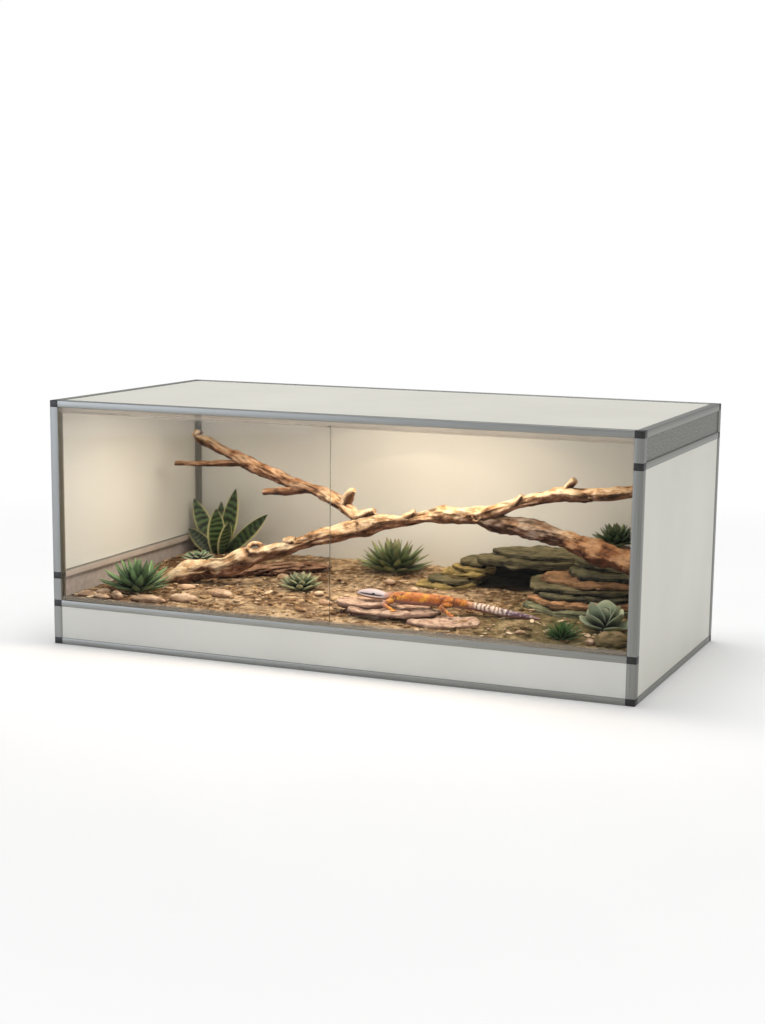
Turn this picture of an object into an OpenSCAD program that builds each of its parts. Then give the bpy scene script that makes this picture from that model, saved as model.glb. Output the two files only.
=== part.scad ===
// Reptile terrarium: an aluminium tube frame with nylon push-in connectors, white wall panels,
// two sliding glass panes in clear tracks, two vent strips, a low lamp under the roof, and the
// planted desert landscape that fills it. Origin at the centre of the base, front towards -Y.

/* [Case] */
// Overall width
case_w = 1000; // [1000:10:1100]
// Overall depth
case_d = 500; // [500:10:560]
// Overall height
case_h = 408; // [400:4:440]

/* [Frame] */
// Width and depth of a post, and the depth of every rail
post_w = 15; // [15:1:16]
// Height of every rail and of every connector body
rail_h = 11; // [10:1:12]
// Wall thickness of the tubes
tube_wall = 1.2; // [1:0.1:1.5]
// Length of the leg that a connector pushes into a tube
leg_len = 16; // [10:1:16]
// Gap around a connector leg inside its tube
leg_gap = 0.2; // [0.1:0.05:0.3]
// Height of the sill above the floor that the case stands on
sill_z = 64; // [60:1:66]
// Height of each vent strip
vent_h = 36; // [34:1:40]

/* [Panels] */
// Thickness of the wall, roof and floor boards
panel_t = 5; // [4:0.5:6]
// How far a board sits behind the outer face of the frame
panel_inset = 1; // [0.5:0.5:2]
// Thickness of a vent strip
vent_t = 1.2; // [1:0.1:1.5]
// Distance between two slots of a vent strip
slot_pitch = 9.4; // [8:0.1:12]
// Width of one slot
slot_w = 4; // [2:0.5:5]

/* [Sliding doors] */
// Thickness of a glass pane
glass_t = 4; // [4:0.5:4.5]
// Width of a groove in the door tracks
groove_w = 4.8; // [4.8:0.1:5]
// Wall thickness of the door tracks
track_wall = 1.2; // [1:0.1:1.3]
// Height of the lower door track
low_track_h = 6; // [5:1:8]
// Height of the upper door track
top_track_h = 10; // [9:1:12]
// Where the two closed panes meet, measured from the middle of the case
seam_x = 4; // [0:1:10]
// How far the closed panes overlap
pane_lap = 8; // [6:1:20]
// How far a pane reaches up into the upper track
pane_entry = 3.6; // [3:0.1:4]

/* [Lamp] */
// Length of the lamp housing
lamp_len = 320; // [200:10:400]
// Depth of the lamp housing
lamp_d = 56; // [40:2:60]
// Height of the lamp housing
lamp_h = 16; // [12:1:18]
// Middle of the lamp, left or right of the middle of the case
lamp_x = 90; // [0:10:120]
// Middle of the lamp, front or back of the middle of the case
lamp_y = 40; // [0:5:60]
// Radius of the lead's hole in the grommet
lead_r = 5; // [3:0.5:6]

/* [Landscape] */
// Height of the ground at the front
soil_front = 78; // [76:1:80]
// How much higher the ground is at the back
soil_rise = 12; // [6:1:16]

/* [Hidden] */
$fn = 48;

// Frame levels and the centre lines of posts and rails
post_x = (case_w - post_w) / 2;
post_y = (case_d - post_w) / 2;
bay_x = case_w / 2 - post_w;
bay_y = case_d / 2 - post_w;
top_z = case_h - rail_h;
sill_top = sill_z + rail_h;
left_vent_z = sill_top + vent_h;
right_vent_z = top_z - vent_h - rail_h;
full_left = [0, sill_z, left_vent_z, top_z];
full_right = [0, sill_z, right_vent_z, top_z];
rear_right = [0, right_vent_z, top_z];

// Planes of the boards
panel_out_x = case_w / 2 - panel_inset;
panel_out_y = case_d / 2 - panel_inset;
roof_under = case_h - panel_inset - panel_t;

// Doors and tracks
track_d = 3 * track_wall + 2 * groove_w;
track_y = -post_y;
front_groove_y = track_y - (track_wall + groove_w) / 2;
rear_groove_y = track_y + (track_wall + groove_w) / 2;
track_low_top = sill_top + low_track_h;
track_top_low = top_z - top_track_h;
run_gap = 0.3;
pane_low = sill_top + track_wall + run_gap;
pane_top = track_top_low + pane_entry;
pane_stop = bay_x - track_wall - run_gap;

// Lamp
bracket_t = 3;
bracket_w = 16;
lamp_top = roof_under - bracket_t;
lamp_low = lamp_top - lamp_h;
lamp_wall = 2;
lamp_recess = 6;
lamp_cap_t = 4;
diffuser_t = 2.6;
led_board_t = 1.2;
fins = 7;
fin_gap = 4;
fin_pitch = 7;
fin_root = 9;
screw_r = 1.45;
pilot_r = 1.5;
clearance_r = 1.75;
screw_head_r = 3;
screw_head_t = 2;
screw_y = lamp_d / 2 + 8;
bracket_dx = lamp_len / 2 - 40;
grommet_x = 430;
grommet_z = 368;
grommet_r = 9;

// Palette
aluminium = [0.62, 0.63, 0.63];
nylon = [0.09, 0.09, 0.08];
board = [0.86, 0.85, 0.81];
clear = [0.82, 0.86, 0.84, 0.4];
soil = [0.62, 0.48, 0.32];
wood = [0.74, 0.56, 0.38];
slate = [0.47, 0.48, 0.34];
leaf_green = [0.33, 0.45, 0.30];

// ---------------------------------------------------------------- frame

// A square or flat tube along +Z, centred on its axis
module tube(size, length) {
    linear_extrude(length)
        difference() {
            square(size, center = true);
            square([size[0] - 2 * tube_wall, size[1] - 2 * tube_wall], center = true);
        }
}

// A rail along X whose underside is at height z
module rail_x(y, z) {
    color(aluminium)
        translate([-bay_x, y, z + rail_h / 2]) rotate([0, 90, 0]) tube([rail_h, post_w], 2 * bay_x);
}

// A rail along Y whose underside is at height z
module rail_y(x, z) {
    color(aluminium)
        translate([x, -bay_y, z + rail_h / 2]) rotate([-90, 0, 0]) tube([post_w, rail_h], 2 * bay_y);
}

// The lengths of post between one connector and the next
module post(x, y, levels) {
    color(aluminium)
        for (i = [0 : len(levels) - 2])
            translate([x, y, levels[i] + rail_h])
                tube([post_w, post_w], levels[i + 1] - levels[i] - rail_h);
}

// One leg of a connector, sized for the tube that it fits
module leg(direction) {
    wide = post_w - 2 * tube_wall - 2 * leg_gap;
    flat = rail_h - 2 * tube_wall - 2 * leg_gap;
    size = direction[2] != 0 ? [wide, wide, leg_len]
         : direction[0] != 0 ? [leg_len, wide, flat] : [wide, leg_len, flat];
    reach = (direction[2] != 0 ? rail_h : post_w) / 2 + leg_len / 2;
    translate(direction * reach) cube(size, center = true);
}

// A connector at post corner (sx, sy), with its underside at height z
module connector(sx, sy, z, legs) {
    color(nylon)
        translate([sx * post_x, sy * post_y, z + rail_h / 2]) {
            cube([post_w, post_w, rail_h], center = true);
            for (direction = legs)
                leg(direction);
        }
}

module bottom_front_rail() rail_x(-post_y, 0);
module bottom_rear_rail() rail_x(post_y, 0);
module bottom_side_rails() for (side = [-1, 1]) rail_y(side * post_x, 0);
module sill_rail() rail_x(-post_y, sill_z);
module left_vent_lower_rail() rail_y(-post_x, sill_z);
module left_vent_upper_rail() rail_y(-post_x, left_vent_z);
module right_vent_lower_rail() rail_y(post_x, right_vent_z);
module top_front_rail() rail_x(-post_y, top_z);
module top_rear_rail() rail_x(post_y, top_z);
module top_side_rails() for (side = [-1, 1]) rail_y(side * post_x, top_z);
module front_left_post() post(-post_x, -post_y, full_left);
module rear_left_post() post(-post_x, post_y, full_left);
module front_right_post() post(post_x, -post_y, full_right);
module rear_right_post() post(post_x, post_y, rear_right);

module bottom_connectors()
    for (sx = [-1, 1], sy = [-1, 1])
        connector(sx, sy, 0, [[-sx, 0, 0], [0, -sy, 0], [0, 0, 1]]);

module top_connectors()
    for (sx = [-1, 1], sy = [-1, 1])
        connector(sx, sy, top_z, [[-sx, 0, 0], [0, -sy, 0], [0, 0, -1]]);

module sill_connectors() {
    connector(-1, -1, sill_z, [[1, 0, 0], [0, 1, 0], [0, 0, 1], [0, 0, -1]]);
    connector(1, -1, sill_z, [[-1, 0, 0], [0, 0, 1], [0, 0, -1]]);
    connector(-1, 1, sill_z, [[0, -1, 0], [0, 0, 1], [0, 0, -1]]);
}

// The pair of connectors that carries one side rail of a vent
module vent_connectors(sx, z)
    for (sy = [-1, 1])
        connector(sx, sy, z, [[0, -sy, 0], [0, 0, 1], [0, 0, -1]]);

module left_vent_connectors() vent_connectors(-1, left_vent_z);
module right_vent_connectors() vent_connectors(1, right_vent_z);

// --------------------------------------------------------------- boards

module floor_panel()
    color(board)
        translate([-bay_x, -bay_y, rail_h - panel_t]) cube([2 * bay_x, 2 * bay_y, panel_t]);

module roof_panel()
    color(board)
        difference() {
            translate([-bay_x, -bay_y, roof_under]) cube([2 * bay_x, 2 * bay_y, panel_t]);
            lamp_holes(pilot_r, roof_under - 1, panel_t - 0.5);
        }

// A board that closes the back or the plinth, standing from z0 to z1
module board_x(y0, z0, z1)
    translate([-bay_x, y0, z0]) cube([2 * bay_x, panel_t, z1 - z0]);

// A board that closes one end, standing from z0 to z1
module board_y(x0, z0, z1)
    translate([x0, -bay_y, z0]) cube([panel_t, 2 * bay_y, z1 - z0]);

module back_panel()
    color(board)
        difference() {
            board_x(panel_out_y - panel_t, rail_h, top_z);
            translate([grommet_x, case_d / 2, grommet_z]) rotate([90, 0, 0])
                cylinder(r = grommet_r, h = 20);
        }

module front_plinth_panel() color(board) board_x(-panel_out_y, rail_h, sill_z);
module right_panel() color(board) board_y(panel_out_x - panel_t, rail_h, right_vent_z);
module left_plinth_panel() color(board) board_y(-panel_out_x, rail_h, sill_z);
module left_upper_panel() color(board) board_y(-panel_out_x, left_vent_z + rail_h, top_z);

// A strip of sheet metal with a row of upright slots
module vent(x0, z0) {
    count = floor((2 * bay_y - 12) / slot_pitch);
    first = -(count - 1) * slot_pitch / 2;
    color(aluminium)
        difference() {
            translate([x0, -bay_y, z0]) cube([vent_t, 2 * bay_y, vent_h]);
            for (i = [0 : count - 1])
                translate([x0 - 1, first + i * slot_pitch - slot_w / 2, z0 + 5])
                    cube([vent_t + 2, slot_w, vent_h - 10]);
        }
}

module left_vent() vent(-panel_out_x + 1, sill_top);
module right_vent() vent(panel_out_x - 1 - vent_t, top_z - vent_h);

// ---------------------------------------------------------------- doors

// A clear track with two grooves, its closed side at z = 0 and its mouths upwards
module track(height) {
    color(clear)
        translate([-bay_x, track_y, 0]) rotate([90, 0, 90])
            linear_extrude(2 * bay_x)
                difference() {
                    translate([-track_d / 2, 0]) square([track_d, height]);
                    for (side = [-1, 1])
                        translate([side * (track_wall + groove_w) / 2 - groove_w / 2, track_wall])
                            square([groove_w, height]);
                }
}

module lower_door_track() translate([0, 0, sill_top]) track(low_track_h);
module upper_door_track() translate([0, 0, top_z]) mirror([0, 0, 1]) track(top_track_h);

module door_side_strips()
    color(clear)
        for (side = [-1, 1])
            translate([side * (bay_x - track_wall / 2), track_y, (track_low_top + track_top_low) / 2])
                cube([track_wall, track_d, track_top_low - track_low_top], center = true);

module pane(x0, x1, y)
    color(clear)
        translate([x0, y - glass_t / 2, pane_low]) cube([x1 - x0, glass_t, pane_top - pane_low]);

module left_glass_door() pane(-pane_stop, seam_x, front_groove_y);
module right_glass_door() pane(seam_x - pane_lap, pane_stop, rear_groove_y);

// ----------------------------------------------------------------- lamp

// Holes or shanks at the four lamp screws
module lamp_holes(radius, z, height)
    for (sx = [-1, 1], sy = [-1, 1])
        translate([lamp_x + sx * bracket_dx, lamp_y + sy * screw_y, z])
            cylinder(r = radius, h = height, $fn = 20);

module lamp_brackets()
    color(aluminium)
        difference() {
            for (sx = [-1, 1])
                translate([lamp_x + sx * bracket_dx, lamp_y, lamp_top + bracket_t / 2])
                    cube([bracket_w, 2 * screw_y + 14, bracket_t], center = true);
            lamp_holes(clearance_r, lamp_top - 1, bracket_t + 2);
        }

module lamp_screws()
    color([0.75, 0.75, 0.76]) {
        lamp_holes(screw_r, lamp_top - 1, bracket_t + panel_t - 1.5);
        lamp_holes(screw_head_r, lamp_top - screw_head_t, screw_head_t);
    }

// A finned trough, open below
module lamp_housing() {
    inner_d = lamp_d - 2 * lamp_wall;
    color(aluminium)
        translate([lamp_x - lamp_len / 2, lamp_y, lamp_low])
            rotate([90, 0, 90])
                linear_extrude(lamp_len)
                    difference() {
                        translate([-lamp_d / 2, 0]) square([lamp_d, lamp_h]);
                        translate([-inner_d / 2, -1]) square([inner_d, lamp_recess + 1]);
                        for (i = [0 : fins - 1])
                            translate([(i - (fins - 1) / 2) * fin_pitch - fin_gap / 2, fin_root])
                                square([fin_gap, lamp_h - fin_root - lamp_wall]);
                    }
}

module lamp_end_caps()
    color(nylon)
        for (side = [-1, 1])
            translate([lamp_x + side * (lamp_len + lamp_cap_t) / 2, lamp_y, lamp_low + lamp_h / 2])
                cube([lamp_cap_t, lamp_d, lamp_h], center = true);

module lamp_diffuser()
    color([0.98, 0.93, 0.8])
        translate([lamp_x, lamp_y, lamp_low + diffuser_t / 2])
            cube([lamp_len, lamp_d - 2 * lamp_wall, diffuser_t], center = true);

// A narrow board against the housing, with a row of light chips on its underside
module lamp_led_board() {
    under = lamp_low + lamp_recess - led_board_t;
    chips = 12;
    color([0.93, 0.93, 0.9])
        translate([lamp_x, lamp_y, 0]) {
            translate([0, 0, under + led_board_t / 2])
                cube([lamp_len - 16, 18, led_board_t], center = true);
            for (i = [0 : chips - 1])
                translate([(i - (chips - 1) / 2) * (lamp_len - 40) / (chips - 1), 0, under])
                    cube([5, 5, 1.6], center = true);
        }
}

// A rubber grommet whose groove grips the back board
module cable_grommet()
    color(nylon)
        translate([grommet_x, case_d / 2, grommet_z]) rotate([90, 0, 0])
            rotate_extrude()
                difference() {
                    translate([lead_r, 0]) square([grommet_r + 4 - lead_r, panel_inset + panel_t + 2]);
                    translate([grommet_r, panel_inset]) square([10, panel_t]);
                }

// --------------------------------------------------------------- ground

// Low mounds in the ground: middle x, middle y, radius, height
mounds = [[-60, 110, 90, 5], [260, 60, 150, 3], [-400, 150, 80, 4], [-230, -80, 70, 3]];

function sum(list, i = 0) = i < len(list) ? list[i] + sum(list, i + 1) : 0;

function mound_height(x, y) =
    sum([for (m = mounds) m[3] * exp(-(pow(x - m[0], 2) + pow(y - m[1], 2)) / pow(m[2], 2))]);

function ripple(x, y) = 0.9 * sin(3.1 * x + 1.7 * y) * cos(1.3 * x - 4.3 * y);

function ground(x, y) =
    soil_front + soil_rise * pow(max(0, (y + bay_y) / (2 * bay_y)), 1.1)
    + mound_height(x, y) + ripple(x, y);

module substrate() {
    nx = 42;
    ny = 20;
    post_gap = 0.2;
    // The last column and the last row reach the boards; the corner cell belongs to the post
    function gx(i) = i == nx ? panel_out_x - panel_t
        : -bay_x + (2 * bay_x - post_gap) * i / (nx - 1);
    function gy(j) = j == ny ? panel_out_y - panel_t
        : -bay_y + (2 * bay_y - post_gap) * j / (ny - 1);
    function at(i, j) = j * (nx + 1) + i;
    top = [for (j = [0 : ny], i = [0 : nx]) [gx(i), gy(j), ground(gx(i), gy(j))]];
    skin = [for (j = [0 : ny - 1], i = [0 : nx - 1], half = [0, 1])
        if (i < nx - 1 || j < ny - 1)
            half == 0 ? [at(i, j), at(i, j + 1), at(i + 1, j + 1)]
                      : [at(i, j), at(i + 1, j + 1), at(i + 1, j)]];
    edge = concat(
        [for (i = [0 : nx - 1]) at(i, 0)], [for (j = [0 : ny - 1]) at(nx, j)],
        [at(nx - 1, ny - 1)],
        [for (i = [nx - 1 : -1 : 1]) at(i, ny)], [for (j = [ny : -1 : 1]) at(0, j)]);
    // The edge again at floor level, and one point in the middle of the floor
    rim = [for (k = edge) [top[k][0], top[k][1], rail_h]];
    first = len(top);
    centre = first + len(rim);
    sides = [for (k = [0 : len(edge) - 1])
        let (n = (k + 1) % len(edge)) [edge[k], edge[n], first + n, first + k]];
    floor_fan = [for (k = [0 : len(edge) - 1]) [first + k, first + (k + 1) % len(edge), centre]];
    color(soil)
        polyhedron(concat(top, rim, [[0, 0, rail_h]]), concat(skin, sides, floor_fan));
}

// ----------------------------------------------------------------- wood

function unit(v) = v / norm(v);

// A point on a smooth curve through p1 and p2, a fraction t of the way between them
function blend_point(p0, p1, p2, p3, t) =
    0.5 * (2 * p1 + (p2 - p0) * t + (2 * p0 - 5 * p1 + 4 * p2 - p3) * t * t
    + (3 * p1 - p0 - 3 * p2 + p3) * t * t * t);

// A smooth route through the given points, each [x, y, z, radius across, radius upright]
function smooth(points, steps) =
    let (last = len(points) - 1)
    concat(
        [for (i = [0 : last - 1], s = [0 : steps - 1])
            blend_point(points[max(i - 1, 0)], points[i], points[i + 1],
                points[min(i + 2, last)], s / steps)],
        [points[last]]);

function place(p) = [p[0], p[1], p[2]];

// One ring of a limb, wavy enough to look weathered
function limb_ring(route, i, sides) =
    let (last = len(route) - 1,
         p = place(route[i]),
         along = unit(place(route[min(i + 1, last)]) - place(route[max(i - 1, 0)])),
         across = unit(cross(along, [0.02, 0.1, 1])),
         up = cross(across, along))
    [for (k = [0 : sides - 1])
        let (a = 360 * k / sides, wave = 1 + 0.13 * sin(2 * a + 47 * i) + 0.05 * sin(3 * a - 71 * i))
        p + across * route[i][3] * wave * cos(a) + up * route[i][4] * wave * sin(a)];

// A branch or twig swept along a smooth route
module limb(points, steps = 4, sides = 9) {
    route = smooth(points, steps);
    rings = len(route);
    skin = [for (i = [0 : rings - 2], k = [0 : sides - 1])
        let (n = (k + 1) % sides) [i * sides + k, i * sides + n, (i + 1) * sides + n, (i + 1) * sides + k]];
    polyhedron(
        [for (i = [0 : rings - 1]) each limb_ring(route, i, sides)],
        concat(skin, [[for (k = [sides - 1 : -1 : 0]) k]],
            [[for (k = [0 : sides - 1]) (rings - 1) * sides + k]]));
}

// A knot or broken stub: two rough balls joined
module stub(a, ra, b, rb)
    hull() {
        translate(a) sphere(ra, $fn = 10);
        translate(b) sphere(rb, $fn = 8);
    }

module driftwood()
    color(wood) {
        limb([[-392, -64, 86, 15, 10], [-350, -58, 98, 25, 19], [-290, -47, 114, 24, 21],
            [-232, -32, 135, 19, 18], [-172, -15, 156, 15, 14], [-112, 10, 174, 14, 13],
            [-66, 30, 189, 16, 15], [15, 45, 206, 13, 12], [73, 50, 215, 13, 12],
            [144, 50, 219, 15, 13], [193, 45, 237, 13, 11], [234, 40, 253, 12, 11],
            [294, 30, 266, 12, 10], [355, 15, 268, 9, 8], [421, 0, 285, 8, 8], [462, -10, 292, 6, 6]]);
        limb([[120, 50, 218, 9, 9], [151, 50, 216, 14, 13], [227, 40, 205, 15, 13],
            [292, 20, 197, 16, 14], [352, 0, 184, 18, 15], [430, -25, 170, 19, 16],
            [470, -38, 150, 14, 12], [478, -42, 128, 10, 9]]);
        limb([[-50, 32, 185, 10, 10], [-71, 34, 201, 17, 13], [-102, 40, 223, 14, 12],
            [-142, 50, 237, 13, 12], [-219, 70, 253, 12, 10], [-300, 90, 276, 12, 10],
            [-348, 100, 291, 11, 10], [-411, 115, 311, 10, 9], [-428, 120, 318, 8, 9]]);
        limb([[-318, 94, 276, 5, 5], [-345, 94, 274, 5, 5], [-390, 90, 271, 4, 4],
            [-451, 80, 271, 2.5, 2.5]], sides = 8);
        limb([[-165, 58, 241, 5, 5], [-181, 60, 242, 6, 5], [-225, 57, 237, 5, 4],
            [-261, 55, 234, 4, 4]], sides = 8);
        limb([[282, 32, 265, 6, 6], [294, 30, 271, 6, 6], [317, 25, 294, 4, 4]], sides = 8);
        stub([-96, 40, 228], 10, [-86, 38, 250], 5);
        stub([-74, 34, 204], 10, [-38, 28, 218], 6);
        stub([-182, -20, 158], 11, [-166, -24, 166], 6);
        stub([-428, 120, 316], 8, [-424, 122, 324], 6);
        stub([15, 43, 210], 9, [30, 40, 219], 5);
        stub([345, 12, 268], 7, [366, 8, 275], 4);
        stub([-244, 76, 258], 8, [-262, 82, 268], 5);
        stub([212, 38, 246], 10, [226, 34, 258], 5);
        stub([-300, -46, 112], 13, [-322, -50, 110], 10);
    }

// A flat reddish branch that lies behind the trunk
module bark_piece()
    color(wood)
        limb([[-330, -2, 88, 8, 4], [-300, 22, 92, 18, 8], [-240, 66, 96, 21, 9],
            [-190, 104, 97, 16, 8], [-160, 126, 96, 7, 4]], steps = 3);

// A flat offcut on the rocks, under the upper plant
module wood_slab()
    color(wood)
        limb([[296, 192, 147, 8, 4], [325, 180, 149, 26, 7], [365, 168, 149, 28, 7.5],
            [405, 158, 147, 16, 5]], steps = 3);

// --------------------------------------------------------------- stones

// Uneven outline of a split slab
function slab_outline(rx, ry, seed) =
    [for (k = [0 : 13])
        let (a = 360 * k / 14, r = 1 + 0.07 * sin(2 * a + 61 * seed) + 0.06 * sin(5 * a + 97 * seed))
        [rx * r * cos(a), ry * r * sin(a)]];

// How far a slab settles into the rough top of the one below it
settle = 0.7;

// A split slab at [x, y, z] that turns about the upright axis
module slab(at, rx, ry, thickness, turn, seed)
    translate(at - [0, 0, settle]) rotate([0, 0, turn])
        linear_extrude(thickness + settle) polygon(slab_outline(rx, ry, seed));

module cave_left_slabs()
    color(slate) {
        slab([68, 92, 82], 50, 38, 11, 12, 1);
        slab([80, 110, 93], 46, 42, 8, 24, 2);
        slab([92, 130, 101], 42, 42, 8, 20, 3);
        slab([100, 148, 109], 38, 42, 9, 35, 4);
        slab([108, 160, 118], 34, 38, 9, 10, 5);
    }

module cave_right_stack()
    color(slate) {
        slab([342, 22, 80], 98, 84, 12, 0, 6);
        slab([352, 40, 92], 100, 86, 9, 14, 7);
        slab([344, 58, 101], 98, 84, 8, 20, 8);
        slab([336, 76, 109], 108, 80, 9, 24, 9);
        slab([348, 92, 118], 102, 82, 9, 22, 10);
        slab([372, 112, 127], 86, 74, 8, 10, 11);
        slab([370, 140, 135], 78, 60, 7, 0, 12);
    }

// An upright slab that closes the back of the cave
module cave_rear_slab()
    color(slate)
        translate([188, 206, 86]) rotate([90, 0, -6])
            linear_extrude(10)
                polygon([[-74, -8], [-70, 26], [-48, 40], [-12, 40.5],
                    [30, 40], [62, 38], [72, 12], [66, -8]]);

module cave_roof_slabs()
    color(slate) {
        slab([212, 150, 127], 96, 62, 9, 8, 13);
        slab([222, 164, 136], 90, 52, 7, 4, 14);
    }

module flat_stones()
    color([0.68, 0.6, 0.58]) {
        slab([48, -146, 78], 62, 36, 7, 6, 15);
        slab([72, -148, 85], 80, 44, 7, 10, 16);
        slab([14, -144, 91], 44, 29, 7.5, -6, 18);
        slab([168, -168, 77], 60, 38, 7, 14, 17);
    }

// A rounded stone that sits a little way into the ground: middle x, middle y, half sizes, turn
module stone(x, y, a, b, c, turn)
    translate([x, y, ground(x, y) + c * 0.45]) rotate([0, 0, turn])
        hull() {
            scale([a, b, c]) sphere(1, $fn = 10);
        }

module loose_stones()
    color([0.78, 0.68, 0.56]) {
        stone(-402, -211, 17, 8, 9, -35);
        stone(-340, -216, 33, 9, 8, 3);
        stone(-288, -188, 25, 12, 9, 8);
        stone(-246, -134, 24, 12, 8, -14);
        stone(-330, -100, 16, 10, 6, 30);
        stone(-440, -190, 14, 9, 7, 60);
        stone(-456, -214, 18, 8, 6, 10);
        stone(-424, -222, 16, 7, 5, -8);
        stone(456, -206, 24, 18, 20, 20);
        stone(418, -208, 9, 7, 6, 0);
        stone(340, -168, 10, 7, 5, 40);
        stone(300, -190, 8, 6, 4, 10);
        stone(372, -160, 12, 7, 5, -15);
        stone(-60, -120, 11, 8, 6, 25);
        stone(-100, -60, 9, 7, 5, 0);
        stone(40, 20, 10, 8, 6, 15);
        stone(-20, 60, 12, 8, 6, -30);
        stone(-210, 30, 12, 8, 7, 10);
    }

// --------------------------------------------------------------- plants

module solid_of(points) hull() polyhedron(points, [[for (i = [0 : len(points) - 1]) i]]);

// Four corners of a leaf's section: two edges, a rib below and a crown above
function leaf_section(x, z, half_w, t) =
    [[x, -half_w, z], [x, half_w, z], [x, 0, z - t], [x, 0, z + t * 0.4]];

// A pointed leaf along +X that starts at the stem and bends upwards by lift at its tip
module leaf(length, width, t, lift) {
    foot = leaf_section(0, 0, width * 0.16, t * 0.7);
    belly = leaf_section(length * 0.5, lift * 0.35, width / 2, t);
    solid_of(concat(foot, belly));
    solid_of(concat(belly, [[length, 0, lift]]));
}

// Whorls of leaves: each is [count, length, width, upward tilt, first angle]
module rosette(at, whorls, t, lift, crown)
    translate(at) {
        for (w = whorls, k = [0 : w[0] - 1])
            rotate([0, 0, w[4] + 360 * k / w[0]]) rotate([0, -w[3], 0])
                translate([crown * 0.3, 0, 0]) leaf(w[1], w[2], t, lift);
        sphere(crown, $fn = 10);
    }

module front_agave()
    color(leaf_green)
        rosette([-397, -150, ground(-397, -150) + 2],
            [[8, 62, 11, 13, 0], [7, 60, 11, 33, 21], [6, 54, 10, 54, 7], [3, 48, 9, 77, 31]],
            2.5, 6, 11);

module rear_agave()
    color(leaf_green)
        rosette([-52, 156, ground(-52, 156) + 2],
            [[8, 66, 13, 15, 10], [7, 64, 13, 35, 33], [6, 58, 12, 56, 1], [3, 52, 10, 78, 17]],
            2.5, 5, 11);

module upper_agave()
    color(leaf_green)
        rosette([352, 172, 158],
            [[7, 42, 10, 11, 5], [6, 39, 10, 34, 27], [5, 34, 8, 57, 3]], 2, 4, 8.5);

module echeveria()
    color([0.56, 0.63, 0.48])
        rosette([-148, -30, ground(-148, -30) + 2],
            [[8, 38, 13, 12, 3], [7, 33, 12, 35, 26], [4, 25, 10, 60, 11]], 3.5, 6, 11);

module variegated_rosette()
    color([0.55, 0.66, 0.5])
        rosette([-424, 118, ground(-424, 118) + 1],
            [[7, 31, 12, 11, 0], [6, 24, 10, 35, 23]], 2.5, 4, 9);

// Broad round-shouldered leaves
module broad_leaf_succulent()
    color([0.42, 0.52, 0.46])
        rosette([414, -116, ground(414, -116) + 3],
            [[5, 46, 28, 13, 22], [3, 46, 36, 52, 105], [2, 30, 22, 74, 25]], 4, 6, 12);

module grass_tuft()
    color([0.3, 0.44, 0.2])
        rosette([368, -190, ground(368, -190)],
            [[9, 37, 4, 13, 0], [8, 37, 4, 27, 17], [6, 34, 4, 44, 5], [3, 28, 3.5, 66, 29]], 1.2, 5, 4.5);

// An upright blade that leaves the ground at (x, y), leans towards an angle and turns on its axis
module blade(x, y, length, width, lean, towards, turn)
    translate([x, y, ground(x, y) - 2]) rotate([0, 0, towards]) rotate([0, lean - 90, 0])
        rotate([turn, 0, 0]) leaf(length, width, 2.6, 0);
module snake_plant()
    color(leaf_green) {
        blade(-421, 198, 112, 30, 9, 12, 84);
        blade(-436, 201, 98, 30, 30, 173, -58);
        blade(-429, 187, 84, 33, 8, 250, 12);
        blade(-413, 196, 108, 28, 47, 2, 72);
        blade(-437, 193, 60, 25, 48, 187, -66);
        blade(-419, 188, 68, 29, 27, 322, 10);
        blade(-430, 207, 86, 24, 16, 112, 0);
        translate([-427, 196, ground(-427, 196) - 2]) sphere(14, $fn = 8);
    }

// ---------------------------------------------------------------- gecko

// Middle line of the animal from snout to tail tip: [x, y, z, radius]
spine = [[4, -130, 105, 3.5], [20, -133, 107, 7.5], [44, -138, 106, 8], [66, -142, 107, 9.5],
    [105, -137, 108, 12], [150, -121, 105, 11], [180, -107, 100, 8.5], [208, -99, 94, 8],
    [242, -97, 90, 7.5], [274, -93, 87, 5], [300, -89, 83, 1.5]];

// Each leg: shoulder, elbow, foot
legs = [[[70, -149, 103], [63, -166, 100], [82, -175, 93]], [[68, -134, 103], [58, -118, 98], [72, -108, 93]],
    [[160, -124, 100], [152, -142, 96], [170, -150, 88]], [[158, -112, 100], [170, -96, 94], [184, -92, 86]]];

module gecko()
    color([0.85, 0.55, 0.25]) {
        for (i = [0 : len(spine) - 2])
            hull()
                for (p = [spine[i], spine[i + 1]])
                    translate(place(p)) sphere(p[3], $fn = 10);
        for (l = legs, i = [0, 1])
            hull() {
                translate(l[i]) sphere(4.5 - i, $fn = 8);
                translate(l[i + 1]) sphere(3.5 - i * 0.8, $fn = 8);
            }
    }

// ----------------------------------------------------------- node calls

bottom_front_rail();
bottom_rear_rail();
bottom_side_rails();
sill_rail();
left_vent_lower_rail();
left_vent_upper_rail();
right_vent_lower_rail();
top_front_rail();
top_rear_rail();
top_side_rails();
front_left_post();
rear_left_post();
front_right_post();
rear_right_post();
bottom_connectors();
sill_connectors();
left_vent_connectors();
right_vent_connectors();
top_connectors();
floor_panel();
back_panel();
roof_panel();
right_panel();
left_upper_panel();
left_plinth_panel();
front_plinth_panel();
left_vent();
right_vent();
lower_door_track();
upper_door_track();
door_side_strips();
left_glass_door();
right_glass_door();
lamp_housing();
lamp_end_caps();
lamp_diffuser();
lamp_led_board();
lamp_brackets();
lamp_screws();
cable_grommet();
substrate();
driftwood();
bark_piece();
wood_slab();
cave_left_slabs();
cave_right_stack();
cave_rear_slab();
cave_roof_slabs();
flat_stones();
loose_stones();
front_agave();
rear_agave();
upper_agave();
echeveria();
variegated_rosette();
snake_plant();
broad_leaf_succulent();
grass_tuft();
gecko();
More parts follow.
